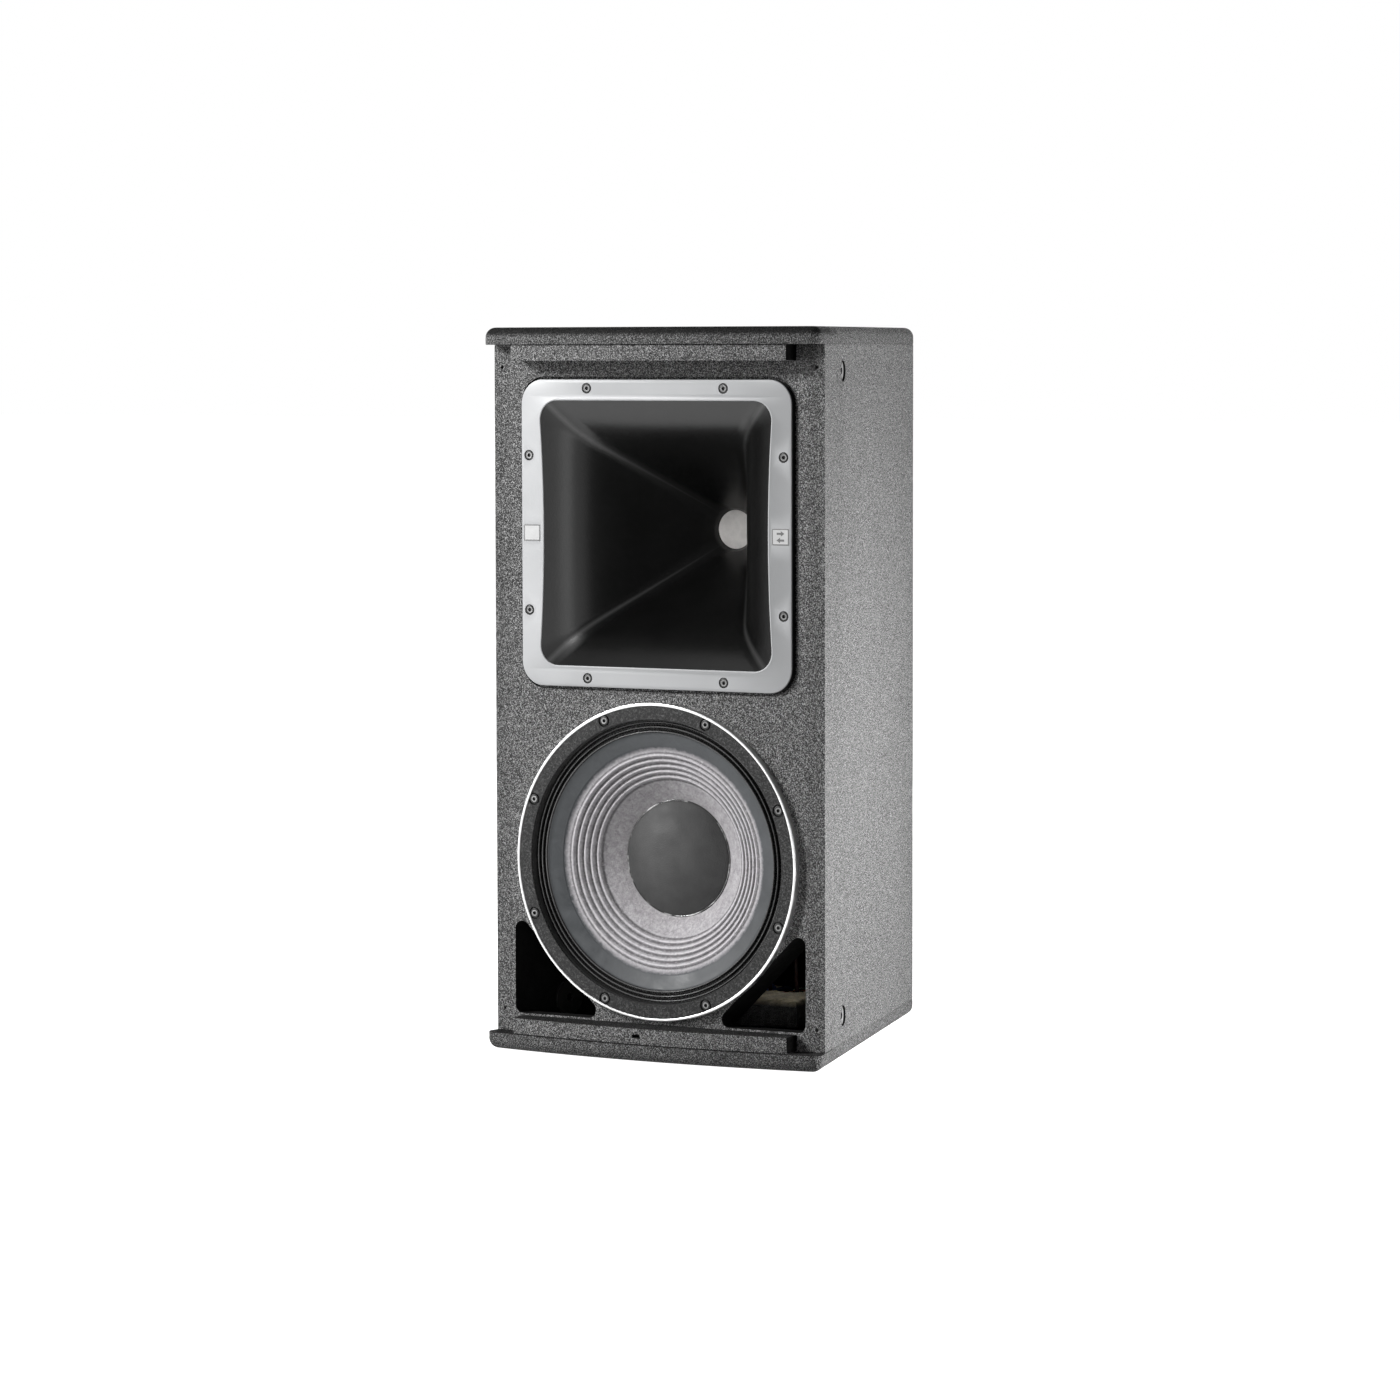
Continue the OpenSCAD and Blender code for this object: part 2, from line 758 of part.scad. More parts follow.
module woofer_basket() {
    color("#c4c5c7") on_axis(woofer_z) difference() {
        union() {
            rotate_extrude() polygon([
                [137.6, 5.6], [138.4, landing_s], [landing_r, landing_s],
                [landing_r, flange_front_s], [153.5, flange_front_s],
                [153.5, rim_front_s + 0.6], [154.1, rim_front_s], [155.9, rim_front_s],
                [rim_r, rim_front_s + 0.6], [rim_r, 0], [141.2, 0], [141.2, 20], [137.6, 20]
            ]);
            rotate_extrude() polygon([
                [86, shelf_s], [98, shelf_s], [98, 68], [94, motor_s],
                [56, motor_s], [56, motor_s - 5], [86, motor_s - 5]
            ]);
            for (i = [0 : basket_legs - 1]) rotate([0, 0, screw_offset + 45 * i - leg_angle / 2])
                rotate_extrude(angle = leg_angle) polygon([
                    [139.4, 13], [140.6, 19], [97.2, 66],
                    [90, 66], [92, 63], [134, 17]
                ]);
            rotate([0, 0, 67.5]) translate([96, -11, 46]) cube([22, 22, 16]);
        }
        at_screws_8(screw_circle_r, screw_offset) disc(bolt_r + 0.4, flange_front_s - 1, 1);
    }
}

module woofer_gasket() {
    color("#4a4a4c") on_axis(woofer_z) difference() {
        ring(landing_r + 0.4, 153.2, -7, flange_front_s);
        at_screws_8(screw_circle_r, screw_offset) {
            disc(6.2, -8, 0);
            translate([0, -4, -8]) cube([8, 8, 8]);
        }
    }
}

module woofer_screws() {
    color("#3a3a3c") on_axis(woofer_z) at_screws_8(screw_circle_r, screw_offset) difference() {
        union() {
            disc(4.8, flange_front_s - 3.6, flange_front_s);
            disc(bolt_r, flange_front_s - eps, panel_t + 1);
        }
        translate([0, 0, flange_front_s - 4]) cylinder(r = 2.3, h = 2.6, $fn = 6);
    }
}

module woofer_tee_nuts() {
    color("#9a9ca0") on_axis(woofer_z) at_screws_8(screw_circle_r, screw_offset) difference() {
        union() {
            disc(tee_flange_r - 3, panel_t, panel_t + 1.5);
            disc(tee_barrel_r - 0.05, 8, panel_t + eps);
        }
        disc(bolt_r + 0.05, 7, panel_t + 3);
    }
}

module voice_coil_former() {
    color("#c9b27a") on_axis(woofer_z) ring(50.1, neck_r, 45, 99);
}

module voice_coil_winding() {
    color("#b87b4b") on_axis(woofer_z) ring(neck_r, 52, 79, 95);
}

module woofer_spider() {
    steps = [for (i = [0 : 36]) i / 36];
    function wave(t) = shelf_s - 1.4 - 1.3 * sin(360 * 4 * t);
    color("#b9a468") on_axis(woofer_z) rotate_extrude() polygon(concat(
        [[50.65, wave(0)]],
        [for (t = steps) [54 + 31 * t, wave(t)]],
        [[93, wave(1)], [93, shelf_s], [86, shelf_s]],
        [for (i = [35 : -1 : 0]) [54 + 31 * steps[i], wave(steps[i]) + 0.7]],
        [[50.65, wave(0) + 0.7]]
    ));
}

module woofer_top_plate() {
    color("#2e2f32") on_axis(woofer_z) ring(53, 90, motor_s, magnet_s);
}

module woofer_magnet() {
    color("#38393c") on_axis(woofer_z) ring(60, 95, magnet_s, back_s);
}

module woofer_back_plate() {
    color("#2e2f32") on_axis(woofer_z) difference() {
        union() {
            disc(92, back_s, motor_end_s);
            disc(49.3, 80, back_s + eps);
        }
        disc(15, 79, motor_end_s + 1);
    }
}

module woofer_terminals() {
    color("#b08a3c") on_axis(woofer_z) rotate([0, 0, 67.5]) {
        translate([118, -9, 47]) cube([3, 18, 14]);
        for (y = [-5, 5]) translate([121 - eps, y - 1, 50]) cube([7, 2, 6]);
    }
}

// ---------- crossover ----------

module crossover_board() {
    color("#2f5a3a") {
        plan(board_z, board_t) translate([-board_half, board_s[0]])
            square([2 * board_half, board_s[1] - board_s[0]]);
        for (x = [-1, 1], s = [board_s[0] + 6, board_s[1] - 6])
            plan(panel_t, board_z - panel_t) translate([x * (board_half - 6), s]) circle(4);
    }
}

module coil(x, s, r_in, r_out, h) {
    translate([x, baffle_y + s, part_z]) difference() {
        cylinder(r = r_out, h = h);
        translate([0, 0, -1]) cylinder(r = r_in, h = h + 2);
    }
}

module crossover_coils() {
    color("#b87b4b") {
        coil(-30, 209, 12, 26, 24);
        coil(31, 207, 9, 20, 18);
        coil(34, 252, 8, 17, 16);
    }
}

module crossover_capacitors() {
    color("#2b4f8a") for (p = [[-46, 9], [-25, 9], [-4, 8]])
        translate([p.x, baffle_y + 239, part_z + p.y]) rotate([-90, 0, 0])
            cylinder(r = p.y, h = 38);
}

module crossover_resistors() {
    color("#e8e4d8") for (x = [-40, -8, 24])
        translate([x, baffle_y + 281, part_z]) cube([11, 32, 10]);
}

// ---------- rigging ----------

// Threaded steel nut whose flange bears on the panel's inner face, z 0 being the outer face
module rigging_nut() {
    difference() {
        union() {
            translate([0, 0, -panel_t - nut_flange_t]) cylinder(r = nut_flange_r, h = nut_flange_t);
            translate([0, 0, -panel_t - eps]) cylinder(r = nut_boss_r - 0.05, h = panel_t - boss_recess);
        }
        translate([0, 0, -panel_t - nut_flange_t - 1]) cylinder(r = thread_r, h = panel_t + 4);
    }
}

module rigging_nuts() {
    color("#a5a7aa") {
        for (p = top_points) {
            translate([p.x, baffle_y + p.y, cab_h]) rigging_nut();
            translate([p.x, baffle_y + p.y, 0]) mirror([0, 0, 1]) rigging_nut();
        }
        for (z = rear_point_zs) on_axis(z) translate([0, 0, cab_depth]) rigging_nut();
        for (side = [-1, 1], z = side_point_zs) on_side(side_point_s, z, side) rigging_nut();
    }
}

module side_plug_screws() {
    plug_r = thread_r - 0.05;
    color("#909195") for (side = [-1, 1], z = side_point_zs) on_side(side_point_s, z, side)
        difference() {
            union() {
                translate([0, 0, -1.2]) cylinder(r = sink_r - 0.8, h = 1.2);
                translate([0, 0, -5]) cylinder(r1 = nut_boss_r - 1.6, r2 = sink_r - 0.8, h = 3.8 + eps);
                translate([0, 0, -panel_t]) cylinder(r = plug_r, h = panel_t - 4.9);
            }
            translate([0, 0, -3.6]) cylinder(r = 3.4, h = 4, $fn = 6);
        }
}

// ---------- input plate ----------

module input_plate() {
    floor_in = dish_floor_s - plate_t;
    color("#1d1e20") on_axis(plate_z) difference() {
        union() {
            pad(plate_w / 2 - 0.3, plate_h / 2 - 0.3, 6, cab_depth - plate_t, cab_depth);
            pad(dish_x + plate_t, dish_z + plate_t, 5, floor_in, cab_depth - plate_t + eps);
        }
        pad(dish_x, dish_z, 3, dish_floor_s, cab_depth + 1);
        for (x = [-socket_x, socket_x]) translate([x, -socket_dz, 0])
            disc(12, floor_in - 1, dish_floor_s + 1);
        translate([0, -knob_dz, 0]) disc(5.1, floor_in - 1, dish_floor_s + 1);
        translate([0, -strip_dz, floor_in - 1]) linear_extrude(plate_t + 2)
            square([50, 6], center = true);
        at_plate_screws() {
            translate([0, 0, -3]) cylinder(r = 1.6, h = 4);
            translate([0, 0, -1.8]) cylinder(r1 = 1.5, r2 = 3, h = 1.8 + eps);
        }
    }
}

module input_plate_screws() {
    color("#1a1a1b") on_axis(plate_z) at_plate_screws() difference() {
        union() {
            translate([0, 0, -1.7]) cylinder(r1 = 1.25, r2 = 2.8, h = 1.6);
            translate([0, 0, -15]) cylinder(r = 1.25, h = 13.3 + eps);
        }
        for (a = [0, 90]) rotate([0, 0, a]) cube([3.2, 0.7, 2], center = true);
    }
}

// Twist-lock sockets: a square flange, a round well and a keyed core
module speaker_sockets() {
    color("#26272a") on_axis(plate_z) for (x = [-socket_x, socket_x])
        translate([x, -socket_dz, dish_floor_s]) {
            difference() {
                union() {
                    translate([0, 0, 1.5]) cube([27, 31, 3], center = true);
                    translate([0, 0, -22]) cylinder(r = 11.9, h = 22 + eps);
                    cylinder(r = 13, h = 8);
                }
                translate([0, 0, -18]) cylinder(r = 10.8, h = 40);
            }
            translate([0, 0, -18 - eps]) difference() {
                cylinder(r = 5.5, h = 20);
                translate([0, 0, 4]) cylinder(r = 3, h = 20);
                for (a = [0, 90]) rotate([0, 0, a]) translate([0, 0, 14])
                    cube([12, 1.6, 14], center = true);
            }
        }
}

module barrier_strip() {
    bays = 4;
    pitch = 15;
    height = 9;
    color("#18181a") on_axis(plate_z) translate([0, -strip_dz, dish_floor_s]) {
        difference() {
            translate([-strip_half, -9, 0]) cube([2 * strip_half, 18, height]);
            for (i = [0 : bays - 1]) translate([pitch * (i - 1.5) - 6, -10, 4])
                cube([12, 20, height]);
        }
        for (x = [-1, 1]) {
            translate([x * (strip_half - 1.5) - 1.5, -14, 0]) cube([3, 6, 12]);
            translate([x * (strip_half - 1.5) - 1.5, -12, 12 + 4]) rotate([0, 90, 0])
                cylinder(r = 4, h = 3);
            translate([x * (strip_half - 1.5) - 1.5, -14, 11]) cube([3, 4, 5]);
            translate([x > 0 ? strip_half - 3 - 4 : -strip_half + 3 - eps, -12, 16])
                rotate([0, 90, 0]) cylinder(r = hinge_r, h = 4 + eps);
        }
    }
    color("#c9cacc") on_axis(plate_z) translate([0, -strip_dz, dish_floor_s])
        for (i = [0 : bays - 1]) translate([pitch * (i - 1.5), 0, 4]) difference() {
            cylinder(r = 3.4, h = 3);
            translate([0, 0, 2.6]) cube([8, 0.9, 2], center = true);
        }
}

// Clear flap over the terminals, hinged on the strip's two pins
module barrier_cover() {
    ear_x = strip_half - 3 - 0.4;
    color("#cfd8dc", 0.5) on_axis(plate_z) translate([0, -strip_dz, dish_floor_s])
        difference() {
            union() {
                translate([-ear_x, -12, 14.6]) cube([2 * ear_x, 22, 1.6]);
                for (x = [-ear_x, ear_x - 2.6]) translate([x, -12, 16]) rotate([0, 90, 0])
                    cylinder(r = 3.2, h = 2.6);
            }
            for (x = [-ear_x - 1, ear_x - 3.6]) translate([x, -12, 16]) rotate([0, 90, 0])
                cylinder(r = hinge_r + 0.06, h = 4.6);
            translate([-ear_x + 2.6, -16, 13]) cube([2 * ear_x - 5.2, 6, 6]);
        }
}

module selector_knob() {
    color("#2a2b2d") on_axis(plate_z) translate([0, -knob_dz, dish_floor_s]) difference() {
        union() {
            translate([0, 0, 3]) cylinder(r = 11, h = 4);
            translate([-10, -2.2, 7 - eps]) cube([20, 4.4, 9]);
            translate([0, 0, -20]) cylinder(r = 3, h = 23 + eps);
        }
        translate([4, -0.5, 15.2]) cube([7, 1, 2]);
    }
}

module selector_switch() {
    floor_in = -plate_t;
    color("#3b3c3f") on_axis(plate_z) translate([0, -knob_dz, dish_floor_s]) difference() {
        union() {
            translate([-13, -13, floor_in - 16]) cube([26, 26, 16]);
            translate([0, 0, floor_in - eps]) cylinder(r = 5, h = plate_t + 2);
        }
        translate([0, 0, -21]) cylinder(r = 3.05, h = 30);
    }
}

// ---------- internal leads ----------

// Point on a smooth curve through the route's points, t running over the whole route
function on_route(p, i, t) = let (
    a = p[max(i - 1, 0)], b = p[i], c = p[i + 1], d = p[min(i + 2, len(p) - 1)]
) 0.5 * (2 * b + (c - a) * t + (2 * a - 5 * b + 4 * c - d) * t * t
    + (3 * b - a - 3 * c + d) * t * t * t);
function route(p, n) = concat(
    [for (i = [0 : len(p) - 2], k = [0 : n - 1]) on_route(p, i, k / n)], [p[len(p) - 1]]);
function unit(v) = v / norm(v);

// Round lead along a route given in [x, s, z]
module lead(points, r) {
    sides = 8;
    path = [for (q = route(points, 6)) [q.x, baffle_y + q.y, q.z]];
    count = len(path);
    rings = [for (i = [0 : count - 1]) let (
        t = unit(path[min(i + 1, count - 1)] - path[max(i - 1, 0)]),
        u = unit(cross(t, [0.83, 0.21, 0.52])),
        v = cross(t, u)
    ) [for (k = [0 : sides - 1]) path[i] + r * (cos(360 * k / sides) * u + sin(360 * k / sides) * v)]];
    polyhedron(
        points = [for (row = rings) for (q = row) q],
        faces = concat(
            [[for (k = [sides - 1 : -1 : 0]) k]],
            [for (i = [0 : count - 2], k = [0 : sides - 1]) let (n = (k + 1) % sides)
                [i * sides + k, i * sides + n, (i + 1) * sides + n, (i + 1) * sides + k]],
            [[for (k = [0 : sides - 1]) (count - 1) * sides + k]]
        )
    );
}

module internal_leads() {
    woofer_route = [
        [28, 183, 26.3], [28, 180, 50], [32, 172, 64], [39, 158, 67], [46, 124, 66],
        [50, 92, 66], [50, 66, 68], [48, 53, 74]
    ];
    horn_route = [
        [55, 190, 26.3], [58, 180, 58], [50, 188, 150], [44, 200, 300],
        [30, 205, 380], [12, 212, 410], [6, 218, 421]
    ];
    input_route = [
        [0, 378, 246], [2, 364, 232], [8, 358, 180], [14, 362, 100],
        [16, 352, 46], [14, 330, 31], [14, 311, 27]
    ];
    color("#8c2f2b") {
        lead(woofer_route, 2);
        lead(horn_route, 2);
        lead(input_route, 2.5);
    }
}

top_panel();
bottom_panel();
left_side_panel();
right_side_panel();
rear_panel();
front_baffle();
upper_grille_batten();
lower_grille_batten();
left_port_board();
right_port_board();
window_brace();
corner_cleats();
side_linings();
rear_lining();
floor_lining();
horn();
horn_gasket();
horn_screws();
left_badge();
right_badge();
throat_screen();
hf_pole_plate();
hf_magnet();
hf_top_plate();
hf_phase_plug();
hf_voice_coil();
hf_diaphragm();
hf_surround();
hf_clamp_ring();
hf_back_cover();
hf_driver_bolts();
hf_terminals();
woofer_basket();
woofer_gasket();
woofer_screws();
woofer_tee_nuts();
woofer_surround();
woofer_cone();
woofer_dust_cap();
voice_coil_former();
voice_coil_winding();
woofer_spider();
woofer_top_plate();
woofer_magnet();
woofer_back_plate();
woofer_terminals();
crossover_board();
crossover_coils();
crossover_capacitors();
crossover_resistors();
rigging_nuts();
side_plug_screws();
input_plate();
input_plate_screws();
speaker_sockets();
barrier_strip();
barrier_cover();
selector_knob();
selector_switch();
internal_leads();
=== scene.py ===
"""Looks of the loudspeaker cabinet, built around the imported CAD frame."""

import json
import math
import random

import bmesh
import bpy
from mathutils import Matrix, Vector
from mathutils.geometry import tessellate_polygon as tessellate

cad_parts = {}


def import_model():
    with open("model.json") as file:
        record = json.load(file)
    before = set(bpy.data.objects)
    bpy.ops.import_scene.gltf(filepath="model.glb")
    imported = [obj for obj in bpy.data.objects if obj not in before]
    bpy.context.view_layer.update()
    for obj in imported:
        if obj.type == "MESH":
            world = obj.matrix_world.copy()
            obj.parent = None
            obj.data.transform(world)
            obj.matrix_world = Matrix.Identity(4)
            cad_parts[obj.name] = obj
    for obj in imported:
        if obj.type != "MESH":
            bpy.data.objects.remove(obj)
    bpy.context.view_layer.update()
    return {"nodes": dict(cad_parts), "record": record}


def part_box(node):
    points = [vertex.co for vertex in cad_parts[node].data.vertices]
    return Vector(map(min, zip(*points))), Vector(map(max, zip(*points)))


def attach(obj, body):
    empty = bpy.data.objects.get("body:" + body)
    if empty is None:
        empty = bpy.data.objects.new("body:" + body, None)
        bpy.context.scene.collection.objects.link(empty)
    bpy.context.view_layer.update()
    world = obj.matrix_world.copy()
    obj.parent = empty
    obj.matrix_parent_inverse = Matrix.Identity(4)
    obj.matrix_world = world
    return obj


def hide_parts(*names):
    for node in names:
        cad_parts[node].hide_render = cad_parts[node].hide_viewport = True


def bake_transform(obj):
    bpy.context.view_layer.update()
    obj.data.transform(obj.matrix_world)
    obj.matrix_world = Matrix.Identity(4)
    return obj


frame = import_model()
nodes = frame["nodes"]
MM = 0.001

# ---------------------------------------------------------------- places read from the frame


def centre_of(node):
    lo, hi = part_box(node)
    return (lo + hi) / 2


baffle_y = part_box("front_baffle")[0].y
woofer_z = centre_of("woofer_cone").z
horn_z = centre_of("horn_screws").z
cab_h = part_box("top_panel")[1].z
lip_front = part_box("top_panel")[0].y
rear_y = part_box("rear_panel")[1].y
half_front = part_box("right_side_panel")[1].x


def depth(s):
    """Y of a depth s (mm) behind the baffle's front face."""
    return baffle_y + s * MM


# mm from the woofer's axis: the cone's darker middle, its ribs and the span of their painted shade and
# highlight, its coat, and the pleats
CONE_DARK = (58, 84)
RIB_START, RIB_END, RIB_PITCH = 78.7, 106.3, 5.52
RIBS_BEGIN, RIBS_END = (76, 78), (107, 109)
COAT_BEGINS = (108.8, 112.2)
PLEAT_MIDDLE, PLEAT_PITCH = 132.5, 4.5

# ---------------------------------------------------------------- material helpers


def new_material(name):
    mat = bpy.data.materials.new(name)
    mat.use_nodes = True
    tree = mat.node_tree
    return mat, tree, tree.nodes["Principled BSDF"]


def coords(tree, scale=(1, 1, 1)):
    place = tree.nodes.new("ShaderNodeTexCoord")
    mapping = tree.nodes.new("ShaderNodeMapping")
    mapping.inputs["Scale"].default_value = scale
    tree.links.new(place.outputs["Object"], mapping.inputs["Vector"])
    return mapping.outputs["Vector"]


def axes(tree, kind="Object"):
    """X, Y and Z of the point that is shaded, or of its normal."""
    place = tree.nodes.new("ShaderNodeTexCoord")
    split = tree.nodes.new("ShaderNodeSeparateXYZ")
    tree.links.new(place.outputs[kind], split.inputs[0])
    return split.outputs


def noise(tree, vector, scale, detail=3.0, roughness=0.5, distortion=0.0):
    node = tree.nodes.new("ShaderNodeTexNoise")
    node.inputs["Scale"].default_value = scale
    node.inputs["Detail"].default_value = detail
    node.inputs["Roughness"].default_value = roughness
    node.inputs["Distortion"].default_value = distortion
    tree.links.new(vector, node.inputs["Vector"])
    return node.outputs["Fac"]


def cells(tree, vector, scale):
    node = tree.nodes.new("ShaderNodeTexVoronoi")
    node.inputs["Scale"].default_value = scale
    tree.links.new(vector, node.inputs["Vector"])
    return node.outputs["Distance"]


def ramp(tree, value, stops):
    node = tree.nodes.new("ShaderNodeValToRGB")
    node.color_ramp.elements[0].position = stops[0][0]
    node.color_ramp.elements[0].color = (*stops[0][1], 1)
    node.color_ramp.elements[1].position = stops[-1][0]
    node.color_ramp.elements[1].color = (*stops[-1][1], 1)
    for position, colour in stops[1:-1]:
        node.color_ramp.elements.new(position).color = (*colour, 1)
    tree.links.new(value, node.inputs["Fac"])
    return node.outputs["Color"]


def remap(tree, value, low, high, out_low, out_high):
    node = tree.nodes.new("ShaderNodeMapRange")
    for key, number in zip(("From Min", "From Max", "To Min", "To Max"), (low, high, out_low, out_high)):
        node.inputs[key].default_value = number
    tree.links.new(value, node.inputs["Value"])
    return node.outputs["Result"]


def math_node(tree, kind, a, b=0.5):
    node = tree.nodes.new("ShaderNodeMath")
    node.operation = kind
    for socket, value in zip(node.inputs, (a, b)):
        if isinstance(value, (int, float)):
            socket.default_value = value
        else:
            tree.links.new(value, socket)
    return node.outputs["Value"]


def times(tree, a, b):
    return math_node(tree, "MULTIPLY", a, b)


def minus(tree, a, b):
    return math_node(tree, "SUBTRACT", a, b)


def mix(tree, factor, a, b):
    node = tree.nodes.new("ShaderNodeMix")
    node.data_type = "RGBA"
    for name, value in (("Factor", factor), ("A", a), ("B", b)):
        socket = [s for s in node.inputs if s.name == name and s.enabled][0]
        if isinstance(value, bpy.types.NodeSocket):
            tree.links.new(value, socket)
        elif isinstance(value, (int, float)):
            socket.default_value = value
        else:
            socket.default_value = (*value, 1)
    return [s for s in node.outputs if s.enabled][0]


def bump(tree, shader, height, distance, strength=1.0):
    """Adds a bump under any bump the shader already has."""
    node = tree.nodes.new("ShaderNodeBump")
    node.inputs["Distance"].default_value = distance
    node.inputs["Strength"].default_value = strength
    tree.links.new(height, node.inputs["Height"])
    old = shader.inputs["Normal"].links
    if old:
        tree.links.new(old[0].from_socket, node.inputs["Normal"])
    tree.links.new(node.outputs["Normal"], shader.inputs["Normal"])


def dress(tree, shader, tone, rough):
    """Gives the shader its colour and its roughness."""
    tree.links.new(tone, shader.inputs["Base Color"])
    tree.links.new(rough, shader.inputs["Roughness"])


def surface(name, stops, scale, rough, relief, metallic=0.0, specular=0.5):
    """Colour that wanders between stops, uneven roughness, and a relief given as its scale and height."""
    mat, tree, shader = new_material(name)
    at = coords(tree)
    uneven = remap(tree, noise(tree, at, scale * 2.3, 2), 0.3, 0.7, *rough)
    dress(tree, shader, ramp(tree, noise(tree, at, scale, 4), stops), uneven)
    shader.inputs["Metallic"].default_value = metallic
    shader.inputs["Specular IOR Level"].default_value = specular
    bump(tree, shader, noise(tree, at, relief[0], 3), relief[1])
    return mat


def grey(value, warm=0.0):
    return (value * (1 + warm), value, value * (1 - warm))


def span(dark, light, warm=0.0):
    """Stops between two greys, or between two colours."""
    low, high = (tone if isinstance(tone, tuple) else grey(tone, warm) for tone in (dark, light))
    return [(0.3, low), (0.7, high)]


# ---------------------------------------------------------------- materials


def textured_paint(name, base):
    """Thick textured paint: irregular grains with a painted highlight on their tips and painted shade in
    their pits; painted shade darkens faces that point up near the front.
    """
    wear, unshaded_share = 0.06, 0.12
    mat, tree, shader = new_material(name)
    at = coords(tree)
    specks = noise(tree, at, 860, 2, 0.7)
    grains = cells(tree, at, 980)
    cloud = noise(tree, at, 9, 3, 0.6)
    height = minus(tree, specks, times(tree, grains, 0.3))
    # the grain's colour follows its height: painted shade in the pits, painted highlight on the tips
    grain_shade_and_light = [(0.18, 0.15), (0.32, 0.6), (0.41, 1.35), (0.5, 3.7)]
    colour = ramp(tree, height, [(at_height, grey(base * share)) for at_height, share in grain_shade_and_light])
    scuff = remap(tree, cloud, 0.35, 0.75, 0.0, wear)
    colour = mix(tree, scuff, colour, grey(base * 2.2))
    # painted shade: faces that point up go near black at the front edge, fading out by 60 mm back
    thin = remap(tree, axes(tree)["Y"], depth(20), depth(60), 1.0 - unshaded_share, 0.0)
    upward_shade = remap(tree, axes(tree, "Normal")["Z"], 0.05, 0.45, 0.0, 1.0)
    colour = mix(tree, times(tree, upward_shade, thin), colour, grey(base * 0.05))
    dress(tree, shader, colour, remap(tree, height, 0.25, 0.5, 0.8, 0.5))
    shader.inputs["Specular IOR Level"].default_value = 0.1
    bump(tree, shader, height, 0.0014)
    return mat


def plywood():
    mat, tree, shader = new_material("sanded_plywood")
    grain = noise(tree, coords(tree, (1, 12, 12)), 14, 5, 0.6, 0.4)
    tones = [(0.3, (0.42, 0.27, 0.13)), (0.5, (0.6, 0.43, 0.24)), (0.72, (0.7, 0.54, 0.33))]
    tree.links.new(ramp(tree, grain, tones), shader.inputs["Base Color"])
    shader.inputs["Roughness"].default_value = 0.68
    bump(tree, shader, grain, 0.0003, 0.5)
    return mat


def fibre(name, shade_below=None):
    """Loose fibre mat: tangled strands, brownish yellow with painted shade in the hollows; given a height, it
    takes near-black painted shade below it.
    """
    mat, tree, shader = new_material(name)
    at = coords(tree)
    strands = noise(tree, coords(tree, (1, 1, 3)), 160, 6, 0.7, 1.6)
    lumps = noise(tree, at, 34, 4, 0.6)
    both = times(tree, strands, lumps)
    # the darkest stop is painted shade in the hollows between the strands
    tones = [(0.1, (0.12, 0.105, 0.07)), (0.26, (0.45, 0.39, 0.26)), (0.4, (0.78, 0.7, 0.52))]
    tone = ramp(tree, both, tones)
    # painted shade: near black below the given height
    if shade_below:
        low_shade = remap(tree, axes(tree)["Z"], shade_below - 0.006, shade_below, 1.0, 0.0)
        tone = mix(tree, low_shade, tone, grey(0.002))
    tree.links.new(tone, shader.inputs["Base Color"])
    shader.inputs["Roughness"].default_value = 0.95
    shader.inputs["Sheen Weight"].default_value = 0.3
    bump(tree, shader, both, 0.006)
    return mat


def brushed(name, value, rough=(0.25, 0.42), warm=0.0):
    """Metal with fine brush lines and faint stains."""
    mat, tree, shader = new_material(name)
    lines = noise(tree, coords(tree, (1, 1, 40)), 60, 3)
    stains = noise(tree, coords(tree), 35, 3)
    tone = ramp(tree, stains, span(value * 0.86, value, warm))
    dress(tree, shader, tone, remap(tree, lines, 0.3, 0.7, *rough))
    shader.inputs["Metallic"].default_value = 1.0
    bump(tree, shader, lines, 0.00004, 0.5)
    return mat


M = {
    # one paint in three base tones, tuned as lit and shaded copies; the lip's darker tone is painted shade
    "front_paint": textured_paint("front_paint", 0.134),
    "side_paint": textured_paint("side_paint", 0.12),
    "shaded_lip_paint": textured_paint("shaded_lip_paint", 0.094),
    "plywood": plywood(),
    "fibre": fibre("fibre_mat"),
    # the floor mat is painted near black below 48 mm, as shade
    "floor_fibre": fibre("floor_fibre_mat", 0.048),
    "zinc": brushed("zinc_steel", 0.62),
    "foil": brushed("diaphragm_foil", 0.75, (0.15, 0.3)),
    "brass": brushed("brass_tabs", 0.6, (0.2, 0.35), 0.35),
}

